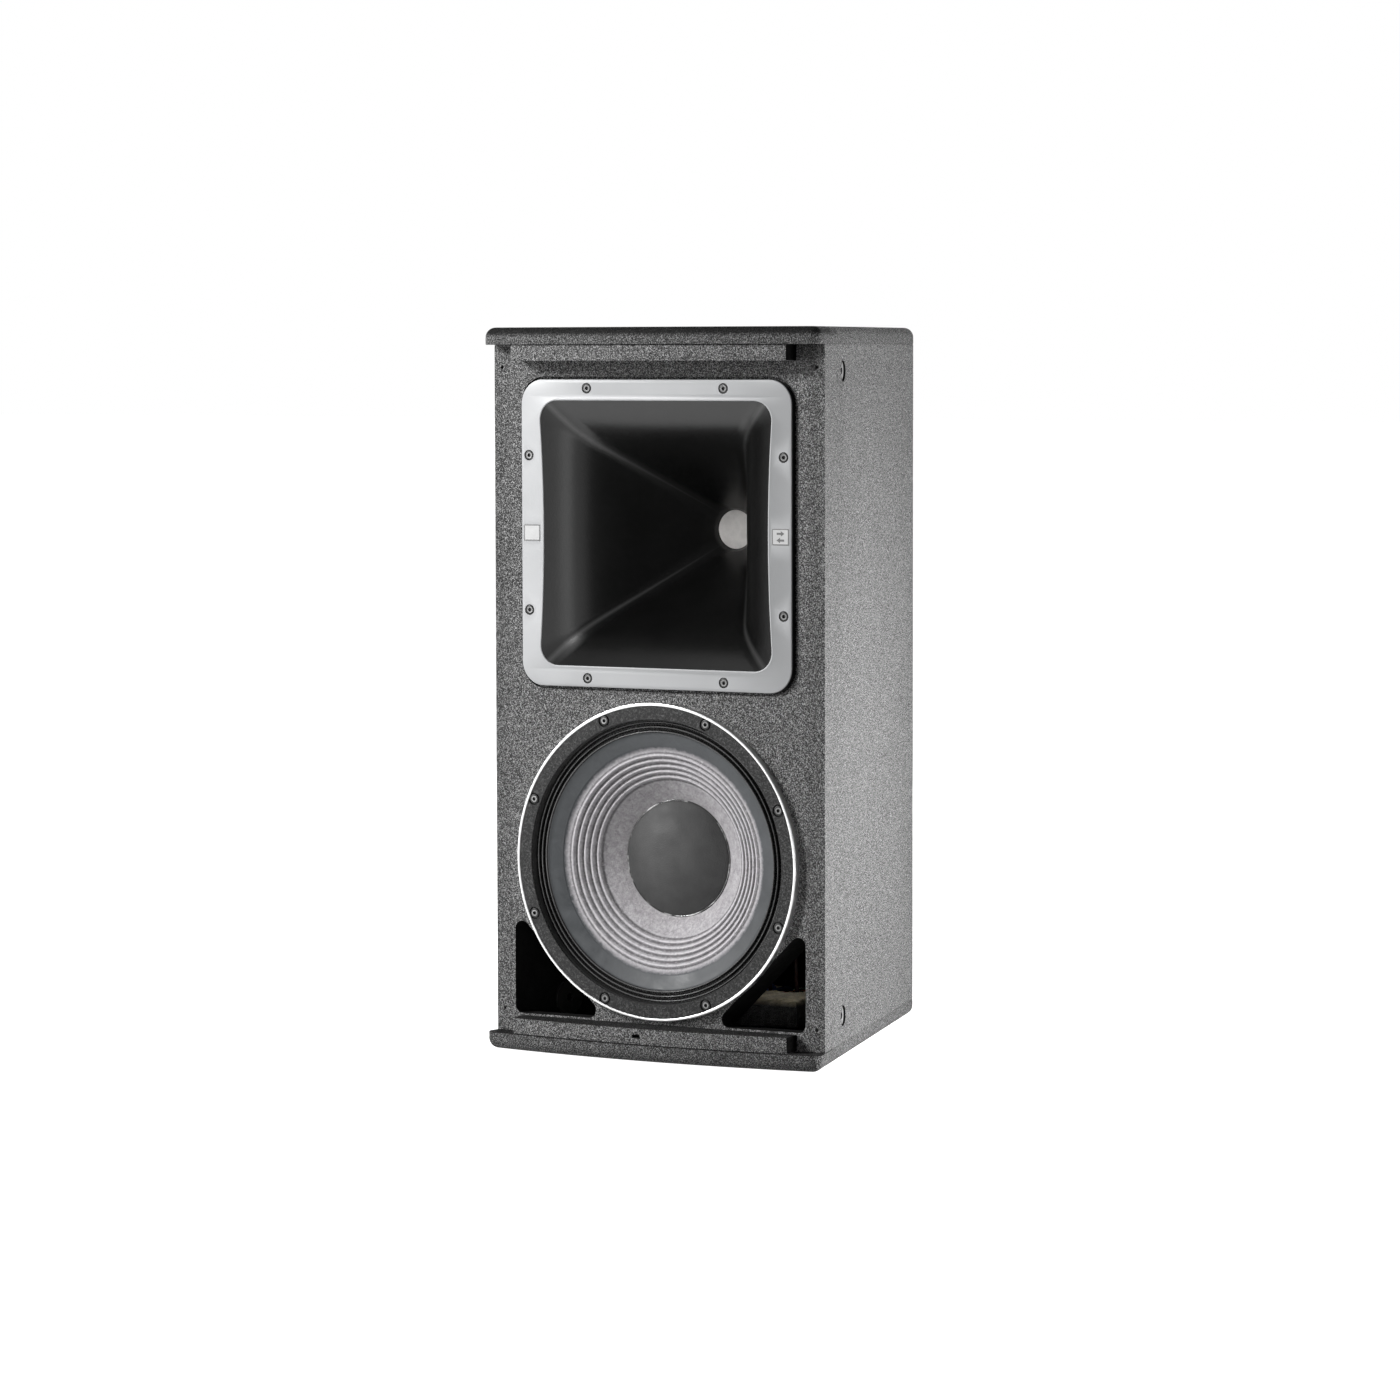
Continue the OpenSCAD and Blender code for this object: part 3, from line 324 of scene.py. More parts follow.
# tones, scale of their variation, roughness, scale and height of the relief, metallic, specular
SURFACES = {
    # black paint made darker still as painted shade, for the faces inside the cabinet, the port boards, the
    # plugs' rings and the dark flag
    "black_board": (span(0.004, 0.01), 60, (0.85, 0.97), (500, 0.0005), 0, 0.08),
    "black_steel": (span(0.012, 0.028), 90, (0.35, 0.55), (900, 0.00008), 0.6),
    "plug_steel": (span(0.17, 0.26), 140, (0.5, 0.65), (900, 0.0002), 0, 0.2),
    "ferrite": (span(0.04, 0.075), 40, (0.5, 0.7), (400, 0.0003)),
    "cast": (span(0.5, 0.62), 60, (0.3, 0.45), (420, 0.0002), 1),
    "badge_white": (span(0.46, 0.54), 80, (0.3, 0.4), (600, 0.00004)),
    "badge_print": (span(0.1, 0.14), 80, (0.35, 0.45), (600, 0.00003)),
    "screen": (span(0.72, 0.86, 0.03), 120, (0.4, 0.6), (2400, 0.0002), 0.3),
    "film": (span((0.5, 0.34, 0.1), (0.62, 0.45, 0.18)), 50, (0.3, 0.45), (800, 0.0001)),
    "copper": (span((0.6, 0.24, 0.1), (0.78, 0.4, 0.2)), 70, (0.2, 0.35), (1500, 0.0003), 1),
    "spider": (span((0.35, 0.25, 0.1), (0.5, 0.38, 0.18)), 90, (0.7, 0.85), (1400, 0.0004)),
    "board": (span((0.01, 0.07, 0.03), (0.015, 0.1, 0.045)), 70, (0.3, 0.45), (300, 0.0001)),
    "capacitor": (span((0.03, 0.08, 0.25), (0.04, 0.11, 0.33)), 50, (0.25, 0.4), (200, 0.0001)),
    "ceramic": (span(0.6, 0.72, 0.05), 90, (0.7, 0.85), (700, 0.0003)),
    "plate": (span(0.012, 0.02), 60, (0.42, 0.58), (900, 0.0003)),
    "black_plastic": (span(0.014, 0.024), 70, (0.38, 0.52), (1100, 0.00015)),
    "sheath": (span((0.03, 0.008, 0.008), (0.05, 0.011, 0.01)), 60, (0.35, 0.5), (300, 0.0001)),
    "cap": (span(0.031, 0.052), 30, (0.56, 0.68), (700, 0.0003), 0, 0.35),
    # the bead where cap meets cone: dark and glossy, with pale patches that are painted glints
    "glue": ([(0.5, grey(0.025)), (0.68, grey(0.6))], 60, (0.1, 0.2), (260, 0.0003)),
    "screw_satin": (span(0.1, 0.2), 120, (0.3, 0.45), (900, 0.0001), 0.85),
    # the battens' unpainted end faces, made near black with no reflection: dark bare ends darkened further as
    # painted shade
    "shade_black_end": (span(0.003, 0.008), 300, (0.85, 0.95), (700, 0.0005), 0, 0),
    "black_coat": (span(0.012, 0.024), 120, (0.4, 0.55), (800, 0.0002)),
    "rubber_strip": (span(0.012, 0.02), 80, (0.7, 0.85), (600, 0.0002)),
}
for look, values in SURFACES.items():
    M[look] = surface(look, *values)


def clear_plastic():
    mat, tree, shader = new_material("clear_plastic")
    at = coords(tree)
    tone = ramp(tree, noise(tree, at, 30), span((0.86, 0.9, 0.92), (0.93, 0.95, 0.96)))
    dress(tree, shader, tone, remap(tree, noise(tree, at, 120), 0.3, 0.7, 0.05, 0.16))
    shader.inputs["Transmission Weight"].default_value = 0.92
    shader.inputs["IOR"].default_value = 1.49
    return mat


def radius_from(tree, height):
    """Distance from a driver's axis, in mm, at rest."""
    point = axes(tree)
    up = minus(tree, point["Z"], height)
    across_2 = times(tree, point["X"], point["X"])
    up_2 = times(tree, up, up)
    metres = math_node(tree, "SQRT", math_node(tree, "ADD", across_2, up_2))
    return times(tree, metres, 1 / MM)


def horn_grey():
    """Light grey moulding with a fine satin texture."""
    mat, tree, shader = new_material("horn_grey")
    at = coords(tree)
    fine = noise(tree, at, 1100, 2)
    cloud = noise(tree, at, 12, 3)
    tone = ramp(tree, cloud, span((0.33, 0.335, 0.342), (0.39, 0.395, 0.402)))
    dress(tree, shader, tone, remap(tree, fine, 0.3, 0.7, 0.36, 0.5))
    bump(tree, shader, fine, 0.00012, 0.6)
    return mat


def crease_highlight_mask(tree):
    """How near the bell's surface is to one of its four creases, 0 to 1, fading towards the throat: where the
    painted highlight goes.
    """
    point = axes(tree)
    across = math_node(tree, "ABSOLUTE", point["X"])
    up = math_node(tree, "ABSOLUTE", minus(tree, point["Z"], horn_z))
    crease = times(tree, across, 1.05)
    off = math_node(tree, "ABSOLUTE", minus(tree, up, crease))
    width = times(tree, up, 0.055)
    near = remap(tree, math_node(tree, "DIVIDE", off, width), 0.0, 1.0, 1.0, 0.0)
    return times(tree, near, remap(tree, up, 0.02, 0.095, 0.15, 1.0))


def horn_black():
    """Black moulding, satin, with a painted highlight in paler grey along its creases."""
    mat, tree, shader = new_material("horn_black")
    at = coords(tree)
    fine = noise(tree, at, 700, 3)
    tone = ramp(tree, noise(tree, at, 18, 3), span(0.004, 0.008))
    rough = remap(tree, fine, 0.3, 0.7, 0.3, 0.37)
    # painted highlight: paler grey along the four creases
    dress(tree, shader, mix(tree, crease_highlight_mask(tree), tone, grey(0.07)), rough)
    shader.inputs["Specular IOR Level"].default_value = 0.42
    bump(tree, shader, fine, 0.00018, 0.6)
    return mat


def paper():
    """Pressed paper pulp: pale grey, mottled, fibrous, darker towards the cap, with painted shade in the rib
    grooves and a painted highlight on the rib crests.
    """
    mat, tree, shader = new_material("paper_pulp")
    at = coords(tree)
    mottle = noise(tree, at, 170, 6, 0.7)
    fibres = noise(tree, at, 430, 4, 0.7, 0.8)
    radius = radius_from(tree, woofer_z)
    tones = [(0.3, (0.215, 0.204, 0.216)), (0.5, (0.325, 0.313, 0.327)), (0.7, (0.47, 0.457, 0.472))]
    tone = ramp(tree, mottle, tones)
    inner = remap(tree, radius, *CONE_DARK, 0.35, 0.0)
    tone = mix(tree, inner, tone, (0.25, 0.235, 0.24))
    turn = times(tree, minus(tree, radius, RIB_START), math.tau / RIB_PITCH)
    wave = math_node(tree, "COSINE", turn)
    # painted shade in the grooves and painted highlight on the crests of the ribs
    groove_shade = remap(tree, wave, 0.2, 0.9, 0.0, 0.9)
    crest_highlight = remap(tree, wave, -0.3, -0.95, 0.0, 0.75)
    begun = remap(tree, radius, *RIBS_BEGIN, 0.0, 1.0)
    ribbed = times(tree, begun, remap(tree, radius, *RIBS_END, 1.0, 0.0))
    tone = mix(tree, times(tree, groove_shade, ribbed), tone, (0.07, 0.067, 0.071))
    tone = mix(tree, times(tree, crest_highlight, ribbed), tone, (0.6, 0.58, 0.605))
    tone = mix(tree, remap(tree, fibres, 0.3, 0.48, 0.6, 0.0), tone, (0.14, 0.13, 0.138))
    tone = mix(tree, remap(tree, fibres, 0.52, 0.7, 0.0, 0.5), tone, (0.62, 0.6, 0.62))
    ragged = times(tree, minus(tree, mottle, 0.5), 8.0)
    edge = math_node(tree, "ADD", radius, ragged)
    tone = mix(tree, remap(tree, edge, *COAT_BEGINS, 0.0, 1.0), tone, (0.05, 0.053, 0.058))
    dress(tree, shader, tone, remap(tree, fibres, 0.3, 0.7, 0.6, 0.8))
    shader.inputs["Sheen Weight"].default_value = 0.12
    bump(tree, shader, fibres, 0.0005, 0.8)
    bump(tree, shader, mottle, 0.0006, 0.6)
    return mat


def coated_edge():
    """Damping coat on the cone's edge: dark blue grey, satin, brushed on unevenly."""
    mat, tree, shader = new_material("damping_coat")
    at = coords(tree)
    cloud = noise(tree, at, 46, 4, 0.6, 0.5)
    tone = ramp(tree, cloud, span((0.018, 0.021, 0.024), (0.056, 0.06, 0.064)))
    dress(tree, shader, tone, remap(tree, cloud, 0.35, 0.65, 0.48, 0.66))
    bump(tree, shader, noise(tree, at, 380, 3), 0.0002, 0.5)
    return mat


def pleated_cloth():
    """Doped cloth of the pleats, with a fine weave under the coat and a painted highlight along the top of
    each pleat.
    """
    mat, tree, shader = new_material("pleated_cloth")
    at = coords(tree)
    weave = noise(tree, at, 900, 2)
    off = minus(tree, radius_from(tree, woofer_z), PLEAT_MIDDLE)
    turn = times(tree, off, math.tau / PLEAT_PITCH)
    # painted highlight: paler grey along the pleats' crests
    crest_highlight = remap(tree, math_node(tree, "COSINE", turn), 0.35, 0.95, 0.0, 1.0)
    tone = ramp(tree, noise(tree, at, 70, 3), span(0.006, 0.012))
    dress(tree, shader, mix(tree, crest_highlight, tone, grey(0.095)), remap(tree, weave, 0.3, 0.7, 0.2, 0.3))
    bump(tree, shader, weave, 0.00012, 0.5)
    return mat


def pressed_fibre():
    """Gasket of pressed fibre: dark, matte, with short scratches across it."""
    mat, tree, shader = new_material("pressed_fibre")
    at = coords(tree)
    flecks = noise(tree, at, 520, 5, 0.75, 0.8)
    tones = [(0.32, grey(0.005)), (0.5, grey(0.013)), (0.64, grey(0.09))]
    tree.links.new(ramp(tree, flecks, tones), shader.inputs["Base Color"])
    shader.inputs["Roughness"].default_value = 0.88
    bump(tree, shader, flecks, 0.0005, 0.8)
    return mat


M.update({
    "clear": clear_plastic(),
    "horn_grey": horn_grey(),
    "horn_black": horn_black(),
    "paper": paper(),
    "coat": coated_edge(),
    "pleats": pleated_cloth(),
    "gasket": pressed_fibre(),
})

LOOKS = {
    "front_paint": ["front_baffle", "upper_grille_batten", "lower_grille_batten"],
    "side_paint": ["left_side_panel", "right_side_panel", "rear_panel"],
    "shaded_lip_paint": ["top_panel", "bottom_panel"],
    "black_board": ["left_port_board", "right_port_board"],
    "plywood": ["window_brace", "corner_cleats"],
    "fibre": ["side_linings", "rear_lining"],
    "floor_fibre": ["floor_lining"],
    "black_steel": [
        "horn_screws", "hf_driver_bolts", "woofer_screws", "input_plate_screws",
        "hf_pole_plate", "hf_top_plate", "woofer_top_plate", "woofer_back_plate",
    ],
    "zinc": ["woofer_tee_nuts"],
    "black_coat": ["rigging_nuts"],
    "plug_steel": ["side_plug_screws"],
    "ferrite": ["hf_magnet", "woofer_magnet"],
    "cast": ["woofer_basket", "hf_phase_plug", "hf_clamp_ring"],
    "badge_white": ["left_badge", "right_badge"],
    "screen": ["throat_screen"],
    "foil": ["hf_diaphragm"],
    "film": ["hf_surround", "voice_coil_former"],
    "copper": ["hf_voice_coil", "voice_coil_winding", "crossover_coils"],
    "spider": ["woofer_spider"],
    "brass": ["hf_terminals", "woofer_terminals"],
    "board": ["crossover_board"],
    "capacitor": ["crossover_capacitors"],
    "ceramic": ["crossover_resistors"],
    "plate": ["input_plate"],
    "black_plastic": [
        "hf_back_cover", "speaker_sockets", "barrier_strip", "selector_knob", "selector_switch",
    ],
    "clear": ["barrier_cover"],
    "sheath": ["internal_leads"],
    "rubber_strip": ["horn_gasket"],
    "gasket": ["woofer_gasket"],
}


def paint(obj, mat):
    obj.data.materials.clear()
    obj.data.materials.append(mat)


for look, names in LOOKS.items():
    for name in names:
        paint(nodes[name], M[look])

# ---------------------------------------------------------------- piece helpers

RECORD = frame["record"]
BODY = {node: body for body, members in RECORD["behaviour"]["bodies"].items() for node in members}


def new_object(name, data):
    obj = bpy.data.objects.new(name, data)
    bpy.context.scene.collection.objects.link(obj)
    return obj


def finish_piece(name, bm, mats, node, smooth=38, ride=True):
    """Makes the object from the bmesh; it stands for the CAD node and moves with the node's body."""
    bmesh.ops.remove_doubles(bm, verts=bm.verts, dist=2e-6)
    bmesh.ops.recalc_face_normals(bm, faces=bm.faces)
    mesh = bpy.data.meshes.new(name)
    bm.to_mesh(mesh)
    bm.free()
    for mat in mats:
        mesh.materials.append(mat)
    mesh.shade_smooth()
    mesh.set_sharp_from_angle(angle=math.radians(smooth))
    obj = new_object(name, mesh)
    if ride:
        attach(obj, BODY[node])
    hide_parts(node)
    return obj


def refine(node, width, segments=2, mats=None, slot_of=None):
    """A copy of a CAD node with its edges softly rounded; slot_of picks a face's material from its normal."""
    bm = bmesh.new()
    bm.from_mesh(nodes[node].data)
    bmesh.ops.remove_doubles(bm, verts=bm.verts, dist=5e-6)
    bmesh.ops.dissolve_limit(bm, angle_limit=math.radians(0.6), verts=bm.verts, edges=bm.edges)
    bmesh.ops.recalc_face_normals(bm, faces=bm.faces)
    if slot_of:
        for face in bm.faces:
            face.material_index = slot_of(face.normal)
    obj = finish_piece(node + "_look", bm, mats or [nodes[node].data.materials[0]], node)
    bevel = obj.modifiers.new("edges", "BEVEL")
    bevel.width = width * MM
    bevel.segments = segments
    bevel.limit_method = "ANGLE"
    bevel.angle_limit = math.radians(38)
    bevel.harden_normals = True
    bevel.use_clamp_overlap = True
    return obj


def lathe(bm, profile, height, segments=224, start=0.0, sweep=360.0, slot_of=None):
    """Turns a closed profile of (radius, depth) in mm about a driver's axis at this height."""
    full = sweep >= 360
    count = segments if full else segments + 1
    rings = []
    for i in range(count):
        angle = math.radians(start + sweep * i / segments)
        c, n = math.cos(angle), math.sin(angle)
        rings.append([bm.verts.new((r * MM * c, depth(s), height - r * MM * n)) for r, s in profile])
    for i in range(segments):
        a, b = rings[i], rings[(i + 1) % count]
        for j in range(len(profile)):
            k = (j + 1) % len(profile)
            face = bm.faces.new((a[j], a[k], b[k], b[j]))
            if slot_of:
                face.material_index = slot_of((profile[j][0] + profile[k][0]) / 2)
    if not full:
        bm.faces.new(rings[0])
        bm.faces.new(list(reversed(rings[-1])))


def circle(x, y, r, count=40):
    turns = [math.tau * i / count for i in range(count)]
    return [(x + r * math.cos(a), y + r * math.sin(a)) for a in turns]


def plate_with_holes(bm, outer, holes, place, slot=0):
    """Flat face inside the outer loop, with the holes left open."""
    loops = [outer, *holes]
    flat = [Vector((x, y, 0)) for loop in loops for x, y in loop]
    verts = [bm.verts.new(place(p.x, p.y)) for p in flat]
    for tri in tessellate([[Vector((x, y, 0)) for x, y in loop] for loop in loops]):
        bm.faces.new([verts[i] for i in tri]).material_index = slot


def bridge(bm, a, b, slot=0):
    """Faces between two closed rows of vertices."""
    for i in range(len(a)):
        j = (i + 1) % len(a)
        bm.faces.new((a[i], a[j], b[j], b[i])).material_index = slot


def rows(bm, rings, slot=0):
    """Joins loops of points, one after another, with faces; returns the first and last rows of vertices."""
    made = [[bm.verts.new(p) for p in ring] for ring in rings]
    for a, b in zip(made, made[1:]):
        bridge(bm, a, b, slot)
    return made[0], made[-1]


def rounded_rect(hx, hy, r, per_side=10, per_corner=10):
    """Closed loop round a rounded rectangle, with the same number of points whatever its size."""
    points = []
    corners = [(hx - r, hy - r, 0), (r - hx, hy - r, 90), (r - hx, r - hy, 180), (hx - r, r - hy, 270)]
    for i, (cx, cy, start) in enumerate(corners):
        for k in range(per_corner):
            a = math.radians(start + 90 * k / (per_corner - 1))
            points.append((cx + r * math.cos(a), cy + r * math.sin(a)))
        nx, ny, begin = corners[(i + 1) % 4]
        b = math.radians(begin)
        last, first = points[-1], (nx + r * math.cos(b), ny + r * math.sin(b))
        for k in range(1, per_side):
            t = k / per_side
            points.append((last[0] + (first[0] - last[0]) * t, last[1] + (first[1] - last[1]) * t))
    return points


def hex_loop(x, y, across):
    """Hexagon, from its width across the flats."""
    return circle(x, y, across / math.sqrt(3), 6)


# ---------------------------------------------------------------- cabinet pieces

PANEL, EDGE = 17, 10
INNER_CUT = 0.6
RIG_POINTS = [(115, 85), (-115, 85), (45, 345), (-45, 345)]
RIG_R, RIG_SINK_R, RIG_SINK = 8, 10.8, 5.5
ARC_STEPS = 9
LIP_REACH = (baffle_y - lip_front) / MM
TAPER = math.radians(15)
BOW_R = 1071.9


def lip_outline():
    """Points and outward normals round the middle line of the panel's rounded edge, in [x, depth] mm."""
    half = half_front / MM
    core_r = BOW_R - EDGE
    middle_s = BOW_R - LIP_REACH
    fx = half
    for _ in range(6):  # each round brings the corner nearer to both the bow and the side
        fs = middle_s - math.sqrt(core_r**2 - fx**2)
        fx = half - math.tan(TAPER) * fs - EDGE / math.cos(TAPER)
    rs = (rear_y - baffle_y) / MM - EDGE
    rx = half - math.tan(TAPER) * rs - EDGE / math.cos(TAPER)
    tip = math.asin(fx / core_r)
    points = []

    def corner(cx, cs, a0, a1, steps=10):
        for k in range(steps + 1):
            a = a0 + (a1 - a0) * k / steps
            points.append(((cx, cs), (math.cos(a), math.sin(a))))

    for k in range(61):
        a = -tip + 2 * tip * k / 60
        points.append(((core_r * math.sin(a), middle_s - core_r * math.cos(a)), (math.sin(a), -math.cos(a))))
    corner(fx, fs, tip - math.pi / 2, TAPER)
    corner(rx, rs, TAPER, math.pi / 2)
    corner(-rx, rs, math.pi / 2, math.pi - TAPER)
    corner(-fx, fs, math.pi - TAPER, 1.5 * math.pi - tip)
    return points


def end_panel(name, inner_z, side):
    """Top or bottom panel: flat inner face, rounded outer edge and four sunk rigging holes."""
    bm = bmesh.new()
    outline = lip_outline()

    def at(x, s, up):
        return (x * MM, depth(s), inner_z + side * up * MM)

    def ring(out, up):
        return [at(c[0] + n[0] * out, c[1] + n[1] * out, up) for c, n in outline]

    arc = [math.radians(90 * k / ARC_STEPS) for k in range(1, ARC_STEPS)]
    rings = [ring(EDGE - INNER_CUT, 0), ring(EDGE, INNER_CUT), ring(EDGE, PANEL - EDGE)]
    rings += [ring(EDGE * math.cos(a), PANEL - EDGE + EDGE * math.sin(a)) for a in arc]
    rows(bm, rings + [ring(0.001, PANEL)])
    for up, out, radius in ((0, EDGE - INNER_CUT, RIG_R), (PANEL, 0.001, RIG_SINK_R)):
        flat = [(c[0] + n[0] * out, c[1] + n[1] * out) for c, n in outline]
        holes = [circle(x, s, radius) for x, s in RIG_POINTS]
        plate_with_holes(bm, flat, holes, lambda x, s, up=up: at(x, s, up))
    for x, s in RIG_POINTS:
        steps = [(RIG_SINK_R, PANEL), (RIG_R, PANEL - RIG_SINK), (RIG_R, 0)]
        rows(bm, [[at(px, ps, up) for px, ps in circle(x, s, r)] for r, up in steps])
    return finish_piece(name + "_look", bm, [M["shaded_lip_paint"]], name)


end_panel("top_panel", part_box("top_panel")[0].z, 1)
end_panel("bottom_panel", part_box("bottom_panel")[1].z, -1)


def inside_of_side(sign):
    """Slot 1, near black as painted shade, for the faces of a side panel that look inwards."""
    inward = Vector((-sign * math.cos(TAPER), -math.sin(TAPER), 0))
    return lambda normal: 1 if normal.dot(inward) > 0.9 else 0


# faces inside the cabinet and the port walls take the near-black painted shade
side_mats, front_mats = ([M[look], M["black_board"]] for look in ("side_paint", "front_paint"))
refine("right_side_panel", 0.5, 2, side_mats, inside_of_side(1))
refine("left_side_panel", 0.5, 2, side_mats, inside_of_side(-1))
refine("front_baffle", 0.5, 2, front_mats, lambda normal: 0 if normal.y < -0.9 else 1)
refine("rear_panel", 0.5, 2, front_mats, lambda normal: 0 if normal.y > 0.5 else 1)
# the battens' end faces take near-black painted shade over their bare ends
for part in ("upper_grille_batten", "lower_grille_batten"):
    ends = [M["front_paint"], M["shade_black_end"]]
    refine(part, 0.7, 3, ends, lambda normal: 1 if abs(normal.x) > 0.95 else 0)


def mat_pad(node, look):
    """Fibre mat: the CAD block with a lumpy, slightly sunken skin."""
    bm = bmesh.new()
    bm.from_mesh(nodes[node].data)
    bmesh.ops.remove_doubles(bm, verts=bm.verts, dist=1e-5)
    bmesh.ops.dissolve_limit(bm, angle_limit=0.02, verts=bm.verts, edges=bm.edges)
    obj = finish_piece(node + "_look", bm, [M[look]], node, 180)
    remesh = obj.modifiers.new("skin", "REMESH")
    remesh.mode = "VOXEL"
    remesh.voxel_size = 0.005
    soften = obj.modifiers.new("soften", "SMOOTH")
    soften.iterations = 3
    lumps = bpy.data.textures.new(node + "_lumps", "CLOUDS")
    lumps.noise_scale = 0.018
    lumps.noise_depth = 3
    push = obj.modifiers.new("lumps", "DISPLACE")
    push.texture = lumps
    push.mid_level = 1.0
    push.strength = LUMP * MM
    return obj


LUMP = 7
mat_pad("side_linings", "fibre")
mat_pad("rear_lining", "fibre")
mat_pad("floor_lining", "floor_fibre")

# ---------------------------------------------------------------- horn pieces

HORN_FRONT = -5
FLANGE_HALF = 151
FLANGE_R = 24
MOUTH = (131, 130.6)
MOUTH_R = 21
MOUTH_BOW = 0.042
THROAT = 160
THROAT_HALF, CONE_X, CONE_Z = 19.35, 80.7, 88.7
LIP_X, LIP_Z, LIP_FADE_X, LIP_FADE_Z = 30.95, 22.55, 7.9, 10.1
CORNER_R, CORNER_CONE, CORNER_DIP, CORNER_LIP, CORNER_FADE = 19.3, 6, 4, 7.7, 9
BELL_WALL = 3.2
SCREW_NEAR, SCREW_FAR = 76.3, 142.3
WELL_R, WELL_FLOOR_R, WELL_DEPTH, SCREW_HOLE_R = 5.3, 5.0, 2.6, 2.9
BADGE_X, BADGE_HALF, BADGE_GAP, BADGE_BACK = 139, (9.25, 8.0), 0.2, 0.8
screw_places = ((SCREW_NEAR, SCREW_FAR), (SCREW_FAR, SCREW_NEAR))
horn_holes = [(sx * a, sz * b) for a, b in screw_places for sx in (-1, 1) for sz in (-1, 1)]


def at_horn(x, up, s):
    return (x * MM, depth(s), horn_z + up * MM)


def mouth_loop(inset):
    """The mouth's edge: straight above and below, bowed inwards a little at the sides."""
    points = []
    for x, z in rounded_rect(MOUTH[0] - inset, MOUTH[1] - inset, MOUTH_R - inset):
        pull = MOUTH_BOW * max(0.0, 1 - (z / MOUTH[1]) ** 2)
        points.append((x * (1 - pull), z))
    return points


def horn_flange():
    """Square flange with rounded edges, a fine bead round the mouth, screw recesses and badge recesses."""
    bm = bmesh.new()
    back = HORN_FRONT + 8
    edge = 1.4
    outer = [rounded_rect(FLANGE_HALF - cut, FLANGE_HALF - cut, FLANGE_R - cut) for cut in (0, 0, 0.4, edge)]
    levels = (back, HORN_FRONT + edge, HORN_FRONT + 0.4, HORN_FRONT)
    rows(bm, [[at_horn(x, z, s) for x, z in loop] for loop, s in zip(outer, levels)])
    seat = rounded_rect(BADGE_HALF[0] + BADGE_GAP, BADGE_HALF[1] + BADGE_GAP, 0.8, 3, 4)
    badges = [[(x + side * BADGE_X, z) for x, z in seat] for side in (-1, 1)]
    holes = [mouth_loop(-1.9), *[circle(x, z, WELL_R) for x, z in horn_holes], *badges]
    plate_with_holes(bm, outer[-1], holes, lambda x, z: at_horn(x, z, HORN_FRONT))
    well_floor = HORN_FRONT + WELL_DEPTH
    steps = [
        (WELL_R, HORN_FRONT), (WELL_FLOOR_R, HORN_FRONT + 0.5), (WELL_FLOOR_R, well_floor),
        (SCREW_HOLE_R, well_floor), (SCREW_HOLE_R, back),
    ]
    for x, z in horn_holes:
        rows(bm, [[at_horn(px, pz, s) for px, pz in circle(x, z, r)] for r, s in steps])
    for loop in badges:
        low = [bm.verts.new(at_horn(x, z, HORN_FRONT + BADGE_BACK)) for x, z in loop]
        high = [bm.verts.new(at_horn(x, z, HORN_FRONT)) for x, z in loop]
        bridge(bm, low, high)
        bm.faces.new(low)
    bead = [(-1.9, 0), (-1.5, -0.22), (-0.8, -0.36), (-0.1, -0.22), (0.3, 0.15), (0.3, 0.8)]
    rows(bm, [[at_horn(x, z, HORN_FRONT + s) for x, z in mouth_loop(cut)] for cut, s in bead])
    inner = mouth_loop(bead[-1][0])
    behind = ((outer[0], back), (inner, back), (inner, HORN_FRONT + bead[-1][1]))
    rows(bm, [[at_horn(x, z, s) for x, z in loop] for loop, s in behind])
    for face in bm.faces:
        if face.calc_center_median().y > depth(HORN_FRONT + 0.9):
            face.material_index = 1
    return finish_piece("horn_flange", bm, [M["horn_grey"], M["horn_black"]], "horn", 35)


def horn_section(s):
    """Half width, half height and corner radius of the bell at depth s."""
    u = (THROAT - s) / (THROAT - HORN_FRONT)
    flare = s - HORN_FRONT
    hx = THROAT_HALF + u * CONE_X + LIP_X * math.exp(-flare / LIP_FADE_X)
    hz = THROAT_HALF + u * CONE_Z + LIP_Z * math.exp(-flare / LIP_FADE_Z)
    r = CORNER_R - CORNER_CONE * u + CORNER_LIP * math.exp(-flare / CORNER_FADE)
    r -= CORNER_DIP * math.sin(math.pi * u)
    return hx, hz, r


def horn_bell():
    """The flared bell, from the bead round the mouth to the round throat."""
    bm = bmesh.new()
    near, lip, far = HORN_FRONT + 0.15, 30, THROAT - 0.2
    depths = [near + lip * (k / 22) ** 2.2 for k in range(22)]
    depths += [near + lip + (far - near - lip) * k / 26 for k in range(27)]
    loops = []
    for s in depths:
        hx, hz, r = horn_section(s)
        fade = math.exp(-(s - HORN_FRONT) / 10)
        loop = []
        for x, z in rounded_rect(hx, hz, min(r, hx - 0.01, hz - 0.01), 10, 16):
            pull = MOUTH_BOW * fade * max(0.0, 1 - (z / hz) ** 2)
            loop.append(at_horn(x * (1 - pull), z, s))
        loops.append(loop)
    rows(bm, loops)
    bmesh.ops.recalc_face_normals(bm, faces=bm.faces)
    bm.faces.ensure_lookup_table()
    probe = bm.faces[len(bm.faces) // 2]
    axis = Vector((0, probe.calc_center_median().y, horn_z))
    outward = probe.normal.dot(probe.calc_center_median() - axis) > 0
    obj = finish_piece("horn_bell", bm, [M["horn_black"]], "horn", 60)
    wall = obj.modifiers.new("wall", "SOLIDIFY")
    wall.thickness = BELL_WALL * MM
    wall.offset = 1 if outward else -1
    return obj


def horn_throat_flange():
    bm = bmesh.new()
    lathe(bm, [(27.5, 152), (61.5, 152), (62, 152.5), (62, 160), (20.5, 160), (20.5, 158.5)], horn_z, 120)
    return finish_piece("horn_throat_flange", bm, [M["horn_black"]], "horn")


